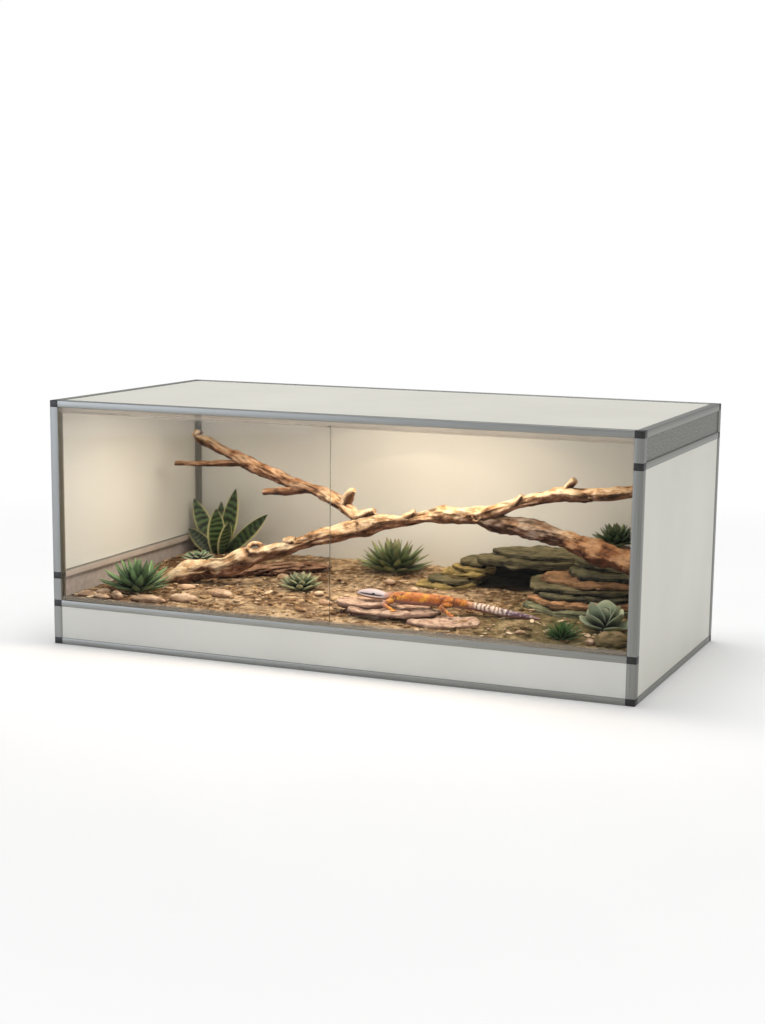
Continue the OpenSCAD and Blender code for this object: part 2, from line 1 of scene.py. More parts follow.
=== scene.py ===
"""Looks of a reptile terrarium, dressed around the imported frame.

The case is an anodised tube frame with nylon corners, coated boards, punched vents, sliding glass
and a lamp bar under the roof. Inside it lies a planted desert landscape.
"""

import logging
import math
import random
from collections.abc import Callable, Iterator, Sequence
from contextlib import contextmanager
from dataclasses import dataclass, field
from enum import Enum
from functools import partial
from math import radians

import bmesh
import bpy
from mathutils import Matrix, Vector


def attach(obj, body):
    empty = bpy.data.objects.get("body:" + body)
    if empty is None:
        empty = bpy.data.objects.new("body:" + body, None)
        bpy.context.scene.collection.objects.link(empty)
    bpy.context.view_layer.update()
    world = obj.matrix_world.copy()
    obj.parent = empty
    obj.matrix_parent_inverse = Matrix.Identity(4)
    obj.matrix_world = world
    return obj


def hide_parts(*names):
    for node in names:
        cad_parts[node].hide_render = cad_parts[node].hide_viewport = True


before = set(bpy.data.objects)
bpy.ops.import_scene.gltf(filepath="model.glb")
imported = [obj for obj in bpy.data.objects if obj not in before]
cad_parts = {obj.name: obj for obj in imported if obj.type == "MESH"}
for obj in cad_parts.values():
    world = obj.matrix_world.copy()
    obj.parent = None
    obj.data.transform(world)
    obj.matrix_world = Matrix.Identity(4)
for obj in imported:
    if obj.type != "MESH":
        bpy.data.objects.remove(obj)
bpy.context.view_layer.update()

LOG = logging.getLogger("terrarium")
MM = 0.001
CASE = "case"

Object = bpy.types.Object
Tree = bpy.types.NodeTree
Node = bpy.types.Node
Socket = bpy.types.NodeSocket
Material = bpy.types.Material
Triple = tuple[float, float, float]
Rows = tuple[tuple[float, ...], ...]
Finishes = dict[str, Material]


class Axis(Enum):
    """The direction that a tube or a grain runs in."""

    X = 0
    Y = 1
    Z = 2


class Part(Enum):
    """What a selection in edit mode picks."""

    VERT = "verts"
    EDGE = "edges"
    FACE = "faces"


class Noise(Enum):
    """The kind of relief that a surface gets: round lumps or sharp ridges."""

    SOFT = "SOFT_NOISE"
    HARD = "HARD_NOISE"


# ---- modelling


def mm(*values: float) -> Vector:
    """Turn three millimetre values into a vector in metres."""
    return Vector(values) * MM


def activate(*objects: Object) -> None:
    """Select only these objects and make the first one active."""
    bpy.ops.object.select_all(action="DESELECT")
    for item in objects:
        item.select_set(True)
    bpy.context.view_layer.objects.active = objects[0]


@contextmanager
def editing(item: Object) -> Iterator[None]:
    """Open a mesh in edit mode with nothing selected, and close it again.

    Args:
        item: The mesh object to edit.
    """
    activate(item)
    bpy.ops.object.mode_set(mode="EDIT")
    bpy.ops.mesh.select_all(action="DESELECT")
    yield
    bpy.ops.object.mode_set(mode="OBJECT")


def pick(item: Object, part: Part, test: Callable[..., bool]) -> None:
    """Select what passes a test, and nothing else. The mesh is in edit mode.

    Args:
        item: The mesh object that is being edited.
        part: Vertices, edges or faces.
        test: Says whether one of them is wanted.
    """
    bpy.ops.mesh.select_mode(type=part.name)
    bpy.ops.mesh.select_all(action="DESELECT")
    mesh = bmesh.from_edit_mesh(item.data)
    wanted = [element for element in getattr(mesh, part.value) if test(element)]
    for element in wanted:
        element.select_set(True)
    mesh.select_flush_mode()
    bmesh.update_edit_mesh(item.data)


def runs_along(axis: Axis) -> Callable[[bmesh.types.BMEdge], bool]:
    """Make a test for edges that run along one axis.

    Args:
        axis: The axis.

    Returns:
        A test for pick.
    """

    def test(edge: bmesh.types.BMEdge) -> bool:
        """Say whether the edge runs along the axis."""
        line = edge.verts[1].co - edge.verts[0].co
        return abs(line[axis.value]) > 0.99 * line.length

    return test


def apply_modifier(item: Object, kind: str, **settings: object) -> None:
    """Add a modifier with these settings and apply it.

    Args:
        item: The mesh object.
        kind: Blender's name of the modifier type.
        **settings: Properties of the modifier.
    """
    activate(item)
    modifier = item.modifiers.new(kind.lower(), kind)
    for key, value in settings.items():
        setattr(modifier, key, value)
    bpy.ops.object.modifier_apply(modifier=modifier.name)


def settle(item: Object) -> Object:
    """Move an object's place, turn and scale into its mesh.

    Args:
        item: The mesh object.

    Returns:
        The same object, at the origin.
    """
    activate(item)
    bpy.ops.object.transform_apply(location=True, rotation=True, scale=True)
    return item


def primitive(operator: Callable[..., set[str]], scale: Sequence[float] = (1, 1, 1),
              **settings: object) -> Object:
    """Add one primitive on its own, with its place, turn and scale moved into its mesh.

    Args:
        operator: The operator that adds it.
        scale: Its scale along each axis.
        **settings: What the operator is told.

    Returns:
        The primitive.
    """
    bpy.ops.object.select_all(action="DESELECT")
    operator(**settings)
    item = bpy.context.active_object
    item.scale = scale
    return settle(item)


def twin(item: Object, place: Matrix) -> Object:
    """Copy an object with a mesh of its own, and put it in a place.

    Args:
        item: The object to copy, which lies at the origin.
        place: Where the copy goes.

    Returns:
        The copy.
    """
    copy = item.copy()
    copy.data = item.data.copy()
    bpy.context.scene.collection.objects.link(copy)
    copy.matrix_world = place
    return copy


def merged(name: str, items: Sequence[Object]) -> Object:
    """Join objects into one piece at the origin.

    Args:
        name: The name of the piece.
        items: What is joined.

    Returns:
        The piece.
    """
    activate(*items)
    bpy.ops.object.transform_apply(location=True, rotation=True, scale=True)
    if len(items) > 1:
        bpy.ops.object.join()
    piece = bpy.context.view_layer.objects.active
    piece.name = name
    piece.data.name = name
    return piece


def discard(*items: Object) -> None:
    """Remove pattern objects that have been copied."""
    for item in items:
        bpy.data.objects.remove(item)


def block(low: Vector, high: Vector) -> Object:
    """Add a box between its lowest and its highest corner, in metres."""
    return primitive(bpy.ops.mesh.primitive_cube_add, high - low, size=1, location=(low + high) / 2)


def soften(item: Object, radius: float, segments: int = 2) -> None:
    """Round every sharp edge of a piece by a radius in metres, with some faces across it."""
    apply_modifier(item, "BEVEL", width=radius, segments=segments, limit_method="ANGLE",
                   harden_normals=False)


def shade(item: Object, degrees: float = 40.0) -> None:
    """Shade a piece smooth, apart from edges sharper than an angle."""
    activate(item)
    bpy.ops.object.shade_smooth_by_angle(angle=radians(degrees))


def roughen(item: Object, size: float, height: float, seed: int, stretch: Triple = (1, 1, 1),
            kind: Noise = Noise.SOFT, middle: float = 0.5) -> None:
    """Push a surface in and out by a cloudy pattern, and apply it.

    Args:
        item: The mesh object.
        size: Size of the lumps in metres.
        height: How far the pattern moves the surface, in metres.
        seed: Chooses the pattern.
        stretch: How much longer the lumps are along each axis.
        kind: Lumps or ridges.
        middle: The pattern's level that leaves the surface where it is.
    """
    draw = random.Random(seed)
    pattern = bpy.data.textures.new("lumps", "CLOUDS")
    pattern.noise_scale = size
    pattern.noise_depth = 3
    pattern.noise_type = kind.value
    anchor = bpy.data.objects.new("anchor", None)
    bpy.context.scene.collection.objects.link(anchor)
    anchor.location = [draw.uniform(-1, 1) for _ in range(3)]
    anchor.scale = stretch
    bpy.context.view_layer.update()
    apply_modifier(item, "DISPLACE", texture=pattern, texture_coords="OBJECT",
                   texture_coords_object=anchor, strength=height, mid_level=middle)
    discard(anchor)
    bpy.data.textures.remove(pattern)


def chart(item: Object, reader: Callable[[Vector], Triple]) -> None:
    """Store where each vertex lies on the unshaped piece, for patterns that follow the surface.

    Args:
        item: The mesh object, before it is bent.
        reader: Turns a vertex's place into the stored value.
    """
    layer = item.data.attributes.new("lay", "FLOAT_VECTOR", "POINT")
    for index, vertex in enumerate(item.data.vertices):
        layer.data[index].vector = reader(vertex.co)


def deliver(piece: Object, body: str, slot: str, finish: Material | None,
            *nodes: str) -> None:
    """Give a finished piece its material and its body, and hide the CAD nodes that it stands for.

    Args:
        piece: The piece.
        body: The body that it moves with.
        slot: Not used.
        finish: The material, or None where the piece has its own already.
        *nodes: The CAD nodes that it stands for.
    """
    if finish is not None:
        piece.data.materials.clear()
        piece.data.materials.append(finish)
    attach(piece, body)
    if nodes:
        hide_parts(*nodes)
    LOG.info("%s: %d faces on %s", piece.name, len(piece.data.polygons), body)


def catmull(points: Sequence[Sequence[float]], steps: int) -> list[list[float]]:
    """Make a smooth route through points, each with any number of values.

    Args:
        points: The points to pass through.
        steps: How many points to make for each of them.

    Returns:
        The points of the route.
    """
    route: list[list[float]] = []
    last = len(points) - 1
    for i in range(last):
        four = [points[max(i - 1, 0)], points[i], points[i + 1], points[min(i + 2, last)]]
        for step in range(steps):
            t = step / steps
            route.append([
                0.5 * (2 * b + (c - a) * t + (2 * a - 5 * b + 4 * c - d) * t * t
                       + (3 * b - a - 3 * c + d) * t ** 3)
                for a, b, c, d in zip(*four)
            ])
    route.append(list(points[last]))
    return route


# ---- materials

# A node's inputs by name or by number. On Map Range, 0 is the value, 1 and 2 are the range that it
# comes from, and 3 and 4 the range that it goes to, each 0 and 1 if not given. On Mix, 0 is the
# share, and 6 and 7 are the two colours, whose mix is output 2.
Inputs = dict[int | str, Socket | float | str | Sequence[float]]
Brush = Callable[..., Socket]
# Middle and half sizes in millimetres, and the colour, of each blot.
Blots = tuple[tuple[Triple, Triple, str], ...]
COLOURS = {"data_type": "RGBA"}
DARKEN = {"data_type": "RGBA", "blend_type": "MULTIPLY"}


def linear(code: str) -> tuple[float, float, float, float]:
    """Turn an sRGB hex colour into linear RGBA.

    Args:
        code: The colour, such as "#a0b0c0".

    Returns:
        Red, green, blue and an alpha of 1.
    """
    parts = [int(code[i:i + 2], 16) / 255 for i in (1, 3, 5)]
    red, green, blue = (p / 12.92 if p <= 0.04045 else ((p + 0.055) / 1.055) ** 2.4 for p in parts)
    return red, green, blue, 1.0


def per(size: float) -> float:
    """Give a pattern's scale from the real size of its features in millimetres."""
    return 1 / (size * MM)


def feed(node: Node, inputs: Inputs) -> None:
    """Link each input that is given a socket, and set each that is given a number or hex colour.

    Args:
        node: The node.
        inputs: Sockets, numbers or hex colours by the input that they go to.
    """
    for key, value in inputs.items():
        if isinstance(value, Socket):
            node.id_data.links.new(value, node.inputs[key])
        else:
            node.inputs[key].default_value = linear(value) if isinstance(value, str) else value


def add(tree: Tree, kind: str, inputs: Inputs, out: int | str = 0, **settings: object) -> Socket:
    """Add one node with its settings and links.

    Args:
        tree: The node tree.
        kind: Blender's name of the node type, without its first word.
        inputs: Sockets, numbers or hex colours by the input that they go to.
        out: The output that is wanted.
        **settings: Properties of the node; "stops" fills a colour ramp.

    Returns:
        The output.
    """
    made = tree.nodes.new(f"ShaderNode{kind}")
    stops = settings.pop("stops", ())
    for key, value in settings.items():
        setattr(made, key, value)
    for _ in stops[2:]:
        made.color_ramp.elements.new(0.5)
    for index, (place, _) in enumerate(stops):
        made.color_ramp.elements[index].position = place
    for index, (_, code) in enumerate(stops):
        made.color_ramp.elements[index].color = linear(code)
    feed(made, inputs)
    return made.outputs[out]


def upward(node: Brush, low: float, high: float) -> Socket:
    """Give how far a face looks up: 0 at the low tilt and 1 at the high one; straight up is 1."""
    tilt = node("SeparateXYZ", {0: node("NewGeometry", {}, "Normal")}, "Z")
    return node("MapRange", {0: tilt, 1: low, 2: high})


def painted_crevice_shade(node: Brush, colour: Socket, reach: float, floor: float) -> Socket:
    """Darken a colour in the piece's own crevices, as painted shade.

    Args:
        node: Adds a node.
        colour: The colour without shade.
        reach: How near the walls of a crevice are, in millimetres.
        floor: How dark the deepest places get.

    Returns:
        The colour with painted shade.
    """
    # Painted shade: ambient occlusion darkens the piece's crevices.
    free = node("AmbientOcclusion", {"Distance": reach * MM}, "AO", samples=5, only_local=True)
    share = node("MapRange", {0: free, 1: 0.3, 2: 0.92, 3: floor})
    return node("Mix", {0: 1.0, 6: colour, 7: share}, 2, **DARKEN)


def clouds(node: Brush, place: Socket, sizes: Sequence[float], detail: float,
           shift: float = 0.0) -> Socket:
    """Draw soft clouds, stretched along some axes.

    Args:
        node: Adds a node.
        place: Coordinates in metres.
        sizes: Size of the clouds along each axis in millimetres.
        detail: How many finer layers they have.
        shift: Moves them, so that two patterns differ.

    Returns:
        The level, around 0.5.
    """
    drawn = node("Mapping", {"Vector": place, "Location": [shift] * 3,
                             "Scale": [per(size) for size in sizes]})
    return node("TexNoise", {"Vector": drawn, "Scale": 1.0, "Detail": detail, "Roughness": 0.6})


def blot(node: Brush, place: Socket, middle: Triple, half: Triple) -> Socket:
    """Give the distance from a blot's middle, which is 1 on its edge.

    Args:
        node: Adds a node.
        place: Coordinates in metres.
        middle: Its middle in millimetres.
        half: Half its sizes in millimetres; 0 runs through.

    Returns:
        The distance.
    """
    scale = [per(h) if h else 0.0 for h in half]
    centred = node("Mapping", {"Vector": place, "Scale": scale,
                               "Location": [-m * MM * k for m, k in zip(middle, scale)]})
    return node("VectorMath", {0: centred}, "Value", operation="LENGTH")


@dataclass(frozen=True)
class Finish:
    """One material: what it is called, its colours and its gloss."""

    name: str
    colours: tuple[str, ...]
    roughness: float = 0.5
    metallic: float = 0.0

    def build(self) -> Material:
        """Make the node material.

        Returns:
            The material.
        """
        material = bpy.data.materials.new(self.name)
        material.use_nodes = True
        node = partial(add, material.node_tree)
        surface = {"Roughness": self.roughness, "Metallic": self.metallic}
        surface |= self.paint(node, node("TexCoord", {}, "Object"))
        feed(material.node_tree.nodes["Principled BSDF"], surface)
        return material

    def paint(self, node: Brush, place: Socket) -> Inputs:
        """Lay the pattern and say what goes to the shader; each finish has its own."""
        raise NotImplementedError

    def shades(self, node: Brush, value: Socket) -> Socket:
        """Spread the finish's colours evenly over a noise.

        Args:
            node: Adds a node.
            value: The noise.

        Returns:
            The colour.
        """
        last = max(1, len(self.colours) - 1)
        return node("ValToRGB", {0: value},
                    stops=[(0.32 + 0.36 * i / last, code) for i, code in enumerate(self.colours)])


@dataclass(frozen=True)
class ExtrudedAluminium(Finish):
    """Satin anodised extrusion: faint die lines run along the tube and soften its highlights."""

    grain: Axis = Axis.X

    def paint(self, node: Brush, place: Socket) -> Inputs:
        """Draw the die lines, 0.9 mm apart, drawn that coarse so that they show.

        Args:
            node: Adds a node.
            place: Coordinates in metres.

        Returns:
            The shader's inputs.
        """
        sizes = [0.9] * 3
        sizes[self.grain.value] = 81
        lines = clouds(node, place, sizes, 3.0)
        return {"Base Color": self.shades(node, lines),
                "Roughness": node("MapRange", {0: lines, 1: 0.3, 2: 0.7, 3: self.roughness - 0.05,
                                               4: self.roughness + 0.07}),
                "Normal": node("Bump", {"Height": lines, "Distance": 0.012 * MM})}


@dataclass(frozen=True)
class Grained(Finish):
    """A moulded, cast or coated surface: fine even grain with a slow change of tone."""

    grit: float = 0.5
    depth: float = 0.02
    tone: float = 60.0

    def paint(self, node: Brush, place: Socket) -> Inputs:
        """Lay fine grain for the relief and slow clouds for the tone.

        Args:
            node: Adds a node.
            place: Coordinates in metres.

        Returns:
            The shader's inputs.
        """
        tone, grain = (clouds(node, place, [size] * 3, 2.0) for size in (self.tone, self.grit))
        return {"Base Color": self.shades(node, tone),
                "Roughness": node("MapRange", {0: grain, 1: 0.3, 2: 0.7, 3: self.roughness - 0.04,
                                               4: self.roughness + 0.04}),
                "Normal": node("Bump", {"Height": grain, "Distance": self.depth * MM})}


@dataclass(frozen=True)
class ClearSheet(Finish):
    """Polished float glass: nearly all light passes, under a glossy face with faint smears."""

    body: float = 0.1
    index: float = 1.5

    def paint(self, node: Brush, place: Socket) -> Inputs:
        """Let light straight through under a glossy face; the body says how much is seen.

        Args:
            node: Adds a node.
            place: Coordinates in metres.

        Returns:
            The shader's inputs.
        """
        smears = clouds(node, place, (45, 45, 45), 3.0)
        return {"Base Color": self.shades(node, smears),
                "Roughness": node("MapRange", {0: smears, 1: 0.3, 2: 0.7, 3: self.roughness,
                                               4: self.roughness + 0.05}),
                "Transmission Weight": 1.0, "IOR": 1.01, "Coat Weight": 1.0, "Coat IOR": self.index,
                "Alpha": self.body}


@dataclass(frozen=True)
class HazyPlastic(Finish):
    """Cast or extruded plastic, faintly milky: pale over what lies behind it, or glowing evenly."""

    haze: Triple = (18, 18, 18)
    detail: float = 2.0
    depth: float = 0.02
    body: float = 1.0
    glow: float = 0.0

    def paint(self, node: Brush, place: Socket) -> Inputs:
        """Cloud the plastic; the body says how much of it is seen, the glow how bright it shines.

        Args:
            node: Adds a node.
            place: Coordinates in metres.

        Returns:
            The shader's inputs.
        """
        haze = clouds(node, place, self.haze, self.detail)
        return {"Base Color": self.shades(node, haze), "Alpha": self.body,
                "Emission Color": self.colours[0], "Emission Strength": self.glow,
                "Normal": node("Bump", {"Height": haze, "Distance": self.depth * MM})}


@dataclass(frozen=True)
class BarkSand(Finish):
    """Loose ground: fine sand over darker bark crumbs, in drifts a hand wide."""

    # Middle and half sizes, in millimetres, of the painted shade under the cave's roof.
    cave: tuple[Triple, Triple] = ((172, 180, 0), (118, 100, 0))

    def paint(self, node: Brush, place: Socket) -> Inputs:
        """Mix crumbs, sandy drifts in the middle, moss to the right and painted shade in the cave.

        Args:
            node: Adds a node.
            place: Coordinates in metres.

        Returns:
            The shader's inputs.
        """
        dark, brown, tan, sand, moss = self.colours
        crumbs = clouds(node, place, (12, 12, 12), 8.0)
        ground = node("ValToRGB", {0: crumbs},
                      stops=((0.37, dark), (0.46, brown), (0.55, tan), (0.66, sand)))
        side = node("SeparateXYZ", {0: place}, "X")
        middle = node("ValToRGB", {0: node("MapRange", {0: side, 1: -0.48, 2: 0.48})},
                      stops=((0.1, "#484848"), (0.3, "#ffffff"), (0.6, "#e0e0e0"), (0.8, "#303030")))
        drift, damp, edge = (clouds(node, place, [size] * 3, detail, shift) for size, detail, shift
                             in ((60, 6.0, 4.0), (34, 6.0, 9.0), (50, 5.0, 2.0)))
        sandy = node("Math", {0: node("MapRange", {0: drift, 1: 0.42, 2: 0.6, 4: 0.8}),
                              1: middle}, operation="MULTIPLY")
        damp = node("MapRange", {0: damp, 1: 0.5, 2: 0.62, 4: 0.85})
        edge = node("Math", {0: edge, 1: 0.5, 2: side}, operation="MULTIPLY_ADD")
        mossy = node("MapRange", {0: edge, 1: 0.4, 2: 0.56, 4: 0.55})
        for share, colour in ((sandy, sand), (damp, brown), (mossy, moss)):
            ground = node("Mix", {0: share, 6: ground, 7: colour}, 2, **COLOURS)
        # Painted shade: the ground under the cave's roof is darkened almost to black.
        unlit = node("MapRange", {0: blot(node, place, *self.cave), 1: 0.8, 2: 1.0, 3: 0.07})
        grains = node("TexVoronoi", {"Vector": place, "Scale": per(1.6)})
        specks = node("MapRange", {0: grains.node.outputs["Color"], 3: 0.68, 4: 1.3})
        for tint in (unlit, specks):
            ground = node("Mix", {0: 1.0, 6: ground, 7: tint}, 2, **DARKEN)
        height = node("Math", {0: crumbs, 1: grains}, operation="ADD")
        # Painted shade: the crevices are darkened.
        return {"Base Color": painted_crevice_shade(node, ground, 9, 0.3), "Specular IOR Level": 0.12,
                "Normal": node("Bump", {"Height": height, "Distance": 0.9 * MM})}


@dataclass(frozen=True)
class WeatheredWood(Finish):
    """Dry, bark-free wood: painted light where it faces up, brown painted shade below, with dark cracks."""

    # Blots of painted shade: middle and half sizes in millimetres, and the colour.
    stains: Blots = ()
    crack: float = 0.75
    bleach: float = 1.0

    def paint(self, node: Brush, place: Socket) -> Inputs:
        """Run fibres and cracks along the limb, and paint light on its top in patches.

        Args:
            node: Adds a node.
            place: Coordinates in metres.

        Returns:
            The shader's inputs.
        """
        dark, brown, pink, tan, pale = self.colours
        lay = node("Attribute", {}, "Vector", attribute_name="lay")
        fibres = clouds(node, lay, (2.4, 2.4, 21.6), 5.0)
        swirl = clouds(node, lay, (11, 11, 26.4), 4.0, 2.0)
        splits = clouds(node, lay, (5.5, 5.5, 44), 3.0, 7.0)
        shaded = node("ValToRGB", {0: swirl}, stops=((0.34, dark), (0.48, brown), (0.64, pink)))
        sunny = node("ValToRGB", {0: swirl}, stops=((0.3, brown), (0.44, tan), (0.6, pale)))
        # Painted light and shade: faces that look up take the pale ramp, those that look down the dark one.
        facing = node("Math", {0: swirl, 1: 0.9, 2: upward(node, -1.0, 1.0)}, operation="MULTIPLY_ADD")
        top_light = node("MapRange", {0: facing, 1: 0.82, 2: 1.22, 4: self.bleach})
        wood = node("Mix", {0: top_light, 6: shaded, 7: sunny}, 2, **COLOURS)
        streaks = node("MapRange", {0: fibres, 1: 0.34, 2: 0.66, 3: 0.68, 4: 1.22})
        wood = node("Mix", {0: 1.0, 6: wood, 7: streaks}, 2, **DARKEN)
        gap = node("MapRange", {0: splits, 1: 0.34, 2: 0.43, 3: self.crack, 4: 0.0})
        wood = node("Mix", {0: gap, 6: wood, 7: dark}, 2, **COLOURS)
        # Painted shade: each blot darkens the wood where it lies in shade.
        for middle, half, tint in self.stains:
            painted_shadow = node("MapRange", {0: blot(node, place, middle, half), 1: 0.75, 2: 1.05, 3: 1.0, 4: 0.0})
            wood = node("Mix", {0: painted_shadow, 6: wood, 7: tint}, 2, **DARKEN)
        ridge = node("Math", {0: swirl, 1: 1.5, 2: fibres}, operation="MULTIPLY_ADD")
        height = node("Math", {0: ridge, 1: gap}, operation="SUBTRACT")
        # Painted shade: the crevices are darkened.
        return {"Base Color": painted_crevice_shade(node, wood, 12, 0.25), "Specular IOR Level": 0.15,
                "Normal": node("Bump", {"Height": height, "Distance": 1.6 * MM})}


@dataclass(frozen=True)
class SplitSlate(Finish):
    """Split slate: painted light on tops, painted shade below, and edges of thin level layers with dark
    gaps.
    """

    def paint(self, node: Brush, place: Socket) -> Inputs:
        """Blotch the faces, stripe the edges with layers, and paint light on the tops and shade on the
        undersides.

        Args:
            node: Adds a node.
            place: Coordinates in metres.

        Returns:
            The shader's inputs.
        """
        dark, main, light, rust = self.colours
        blotch = clouds(node, place, (38.4, 38.4, 9.6), 6.0)
        layers = clouds(node, place, (57.2, 57.2, 2.2), 4.0, 3.0)
        patches = clouds(node, place, (18, 18, 18), 5.0, 5.0)
        face = node("ValToRGB", {0: blotch},
                    stops=((0.34, dark), (0.46, main), (0.57, light), (0.7, rust)))
        stripes = node("MapRange", {0: layers, 1: 0.37, 2: 0.63, 3: 0.32, 4: 1.35})
        face = node("Mix", {0: 1.0, 6: face, 7: stripes}, 2, **DARKEN)
        light_patches = node("MapRange", {0: patches, 1: 0.4, 2: 0.6, 3: 0.1, 4: 0.8})
        slate_top_light = node("Math", {0: upward(node, 0.05, 0.7), 1: light_patches}, operation="MULTIPLY")
        # Painted light on the tops, in patches, and painted shade on the undersides.
        for share, colour in ((slate_top_light, light), (upward(node, -0.1, -0.7), dark)):
            face = node("Mix", {0: share, 6: face, 7: colour}, 2, **COLOURS)
        fine = clouds(node, place, (3, 3, 3), 6.0)
        height = node("Math", {0: layers, 1: fine}, operation="ADD")
        # Painted shade: the crevices are darkened.
        return {"Base Color": painted_crevice_shade(node, face, 16, 0.16), "Specular IOR Level": 0.2,
                "Normal": node("Bump", {"Height": height, "Distance": 0.9 * MM})}


@dataclass(frozen=True)
class WornStone(Finish):
    """Sandstone smoothed by a river: soft bands and fine pits, with painted light on top and painted shade
    below.
    """

    def paint(self, node: Brush, place: Socket) -> Inputs:
        """Band the stone, paint light on its top and shade under it, and pit it.

        Args:
            node: Adds a node.
            place: Coordinates in metres.

        Returns:
            The shader's inputs.
        """
        dark, main, light, top_highlight = self.colours
        bands = clouds(node, place, (31.2, 31.2, 6.5), 6.0)
        patches = clouds(node, place, (12, 12, 12), 4.0, 3.0)
        pits = clouds(node, place, (1.6, 1.6, 1.6), 4.0)
        stone = node("ValToRGB", {0: bands}, stops=((0.34, dark), (0.48, main), (0.64, light)))
        light_patches = node("MapRange", {0: patches, 1: 0.4, 2: 0.6, 4: 0.9})
        light_patches = node("Math", {0: upward(node, 0.2, 0.9), 1: light_patches}, operation="MULTIPLY")
        # Painted highlight on the tops, in patches, and painted shade on the undersides.
        for share, colour in ((light_patches, top_highlight), (upward(node, 0.1, -0.6), dark)):
            stone = node("Mix", {0: share, 6: stone, 7: colour}, 2, **COLOURS)
        # Painted shade: the crevices are darkened.
        return {"Base Color": painted_crevice_shade(node, stone, 10, 0.25), "Specular IOR Level": 0.2,
                "Normal": node("Bump", {"Height": pits, "Distance": 0.35 * MM})}


@dataclass(frozen=True)
class LeafSkin(Finish):
    """Waxy leaf: colour runs from foot to tip, with a margin and, on some plants, cross bands."""

    margin: str = "#6f8a66"
    margin_at: float = 0.8
    bands: float = 0.0

    def paint(self, node: Brush, place: Socket) -> Inputs:
        """Run the colours along the leaf, then add its bands, margin and veins.

        Args:
            node: Adds a node.
            place: Coordinates in metres.

        Returns:
            The shader's inputs.
        """
        lay = node("Attribute", {}, "Vector", attribute_name="lay")
        along, across, tone = node("SeparateXYZ", {0: lay}).node.outputs
        last = len(self.colours) - 1
        # The first colour lies at the foot; where it is darker, that is painted shade deep in the plant.
        skin = node("ValToRGB", {0: along},
                    stops=[(i / last, code) for i, code in enumerate(self.colours)])
        if self.bands:
            ripple = node("TexWave", {"Vector": lay, "Scale": self.bands / 3.18, "Distortion": 5.0,
                                      "Detail": 3.0, "Detail Scale": 0.8}, "Fac")
            banded = node("MapRange", {0: ripple, 1: 0.36, 2: 0.6, 4: 0.92})
            skin = node("Mix", {0: banded, 6: skin, 7: self.colours[0]}, 2, **COLOURS)
        level = node("MapRange", {0: tone, 3: 0.6, 4: 1.4})
        skin = node("Mix", {0: 1.0, 6: skin, 7: level}, 2, **DARKEN)
        rim = node("MapRange", {0: node("Math", {0: across}, operation="ABSOLUTE"), 1: self.margin_at,
                                2: min(1.0, self.margin_at + 0.12)})
        skin = node("Mix", {0: rim, 6: skin, 7: self.margin}, 2, **COLOURS)
        veined = node("Mapping", {"Vector": lay, "Scale": (1 / 1.68, 1 / 0.12, 1 / 3.6)})
        veins = node("TexNoise", {"Vector": veined, "Scale": 1.0, "Detail": 3.0, "Roughness": 0.6})
        # Painted shade: the crevices between the leaves are darkened.
        return {"Base Color": painted_crevice_shade(node, skin, 14, 0.12), "Specular IOR Level": 0.3,
                "Coat Weight": 0.05, "Coat Roughness": 0.35,
                "Normal": node("Bump", {"Height": veins, "Distance": 0.15 * MM})}


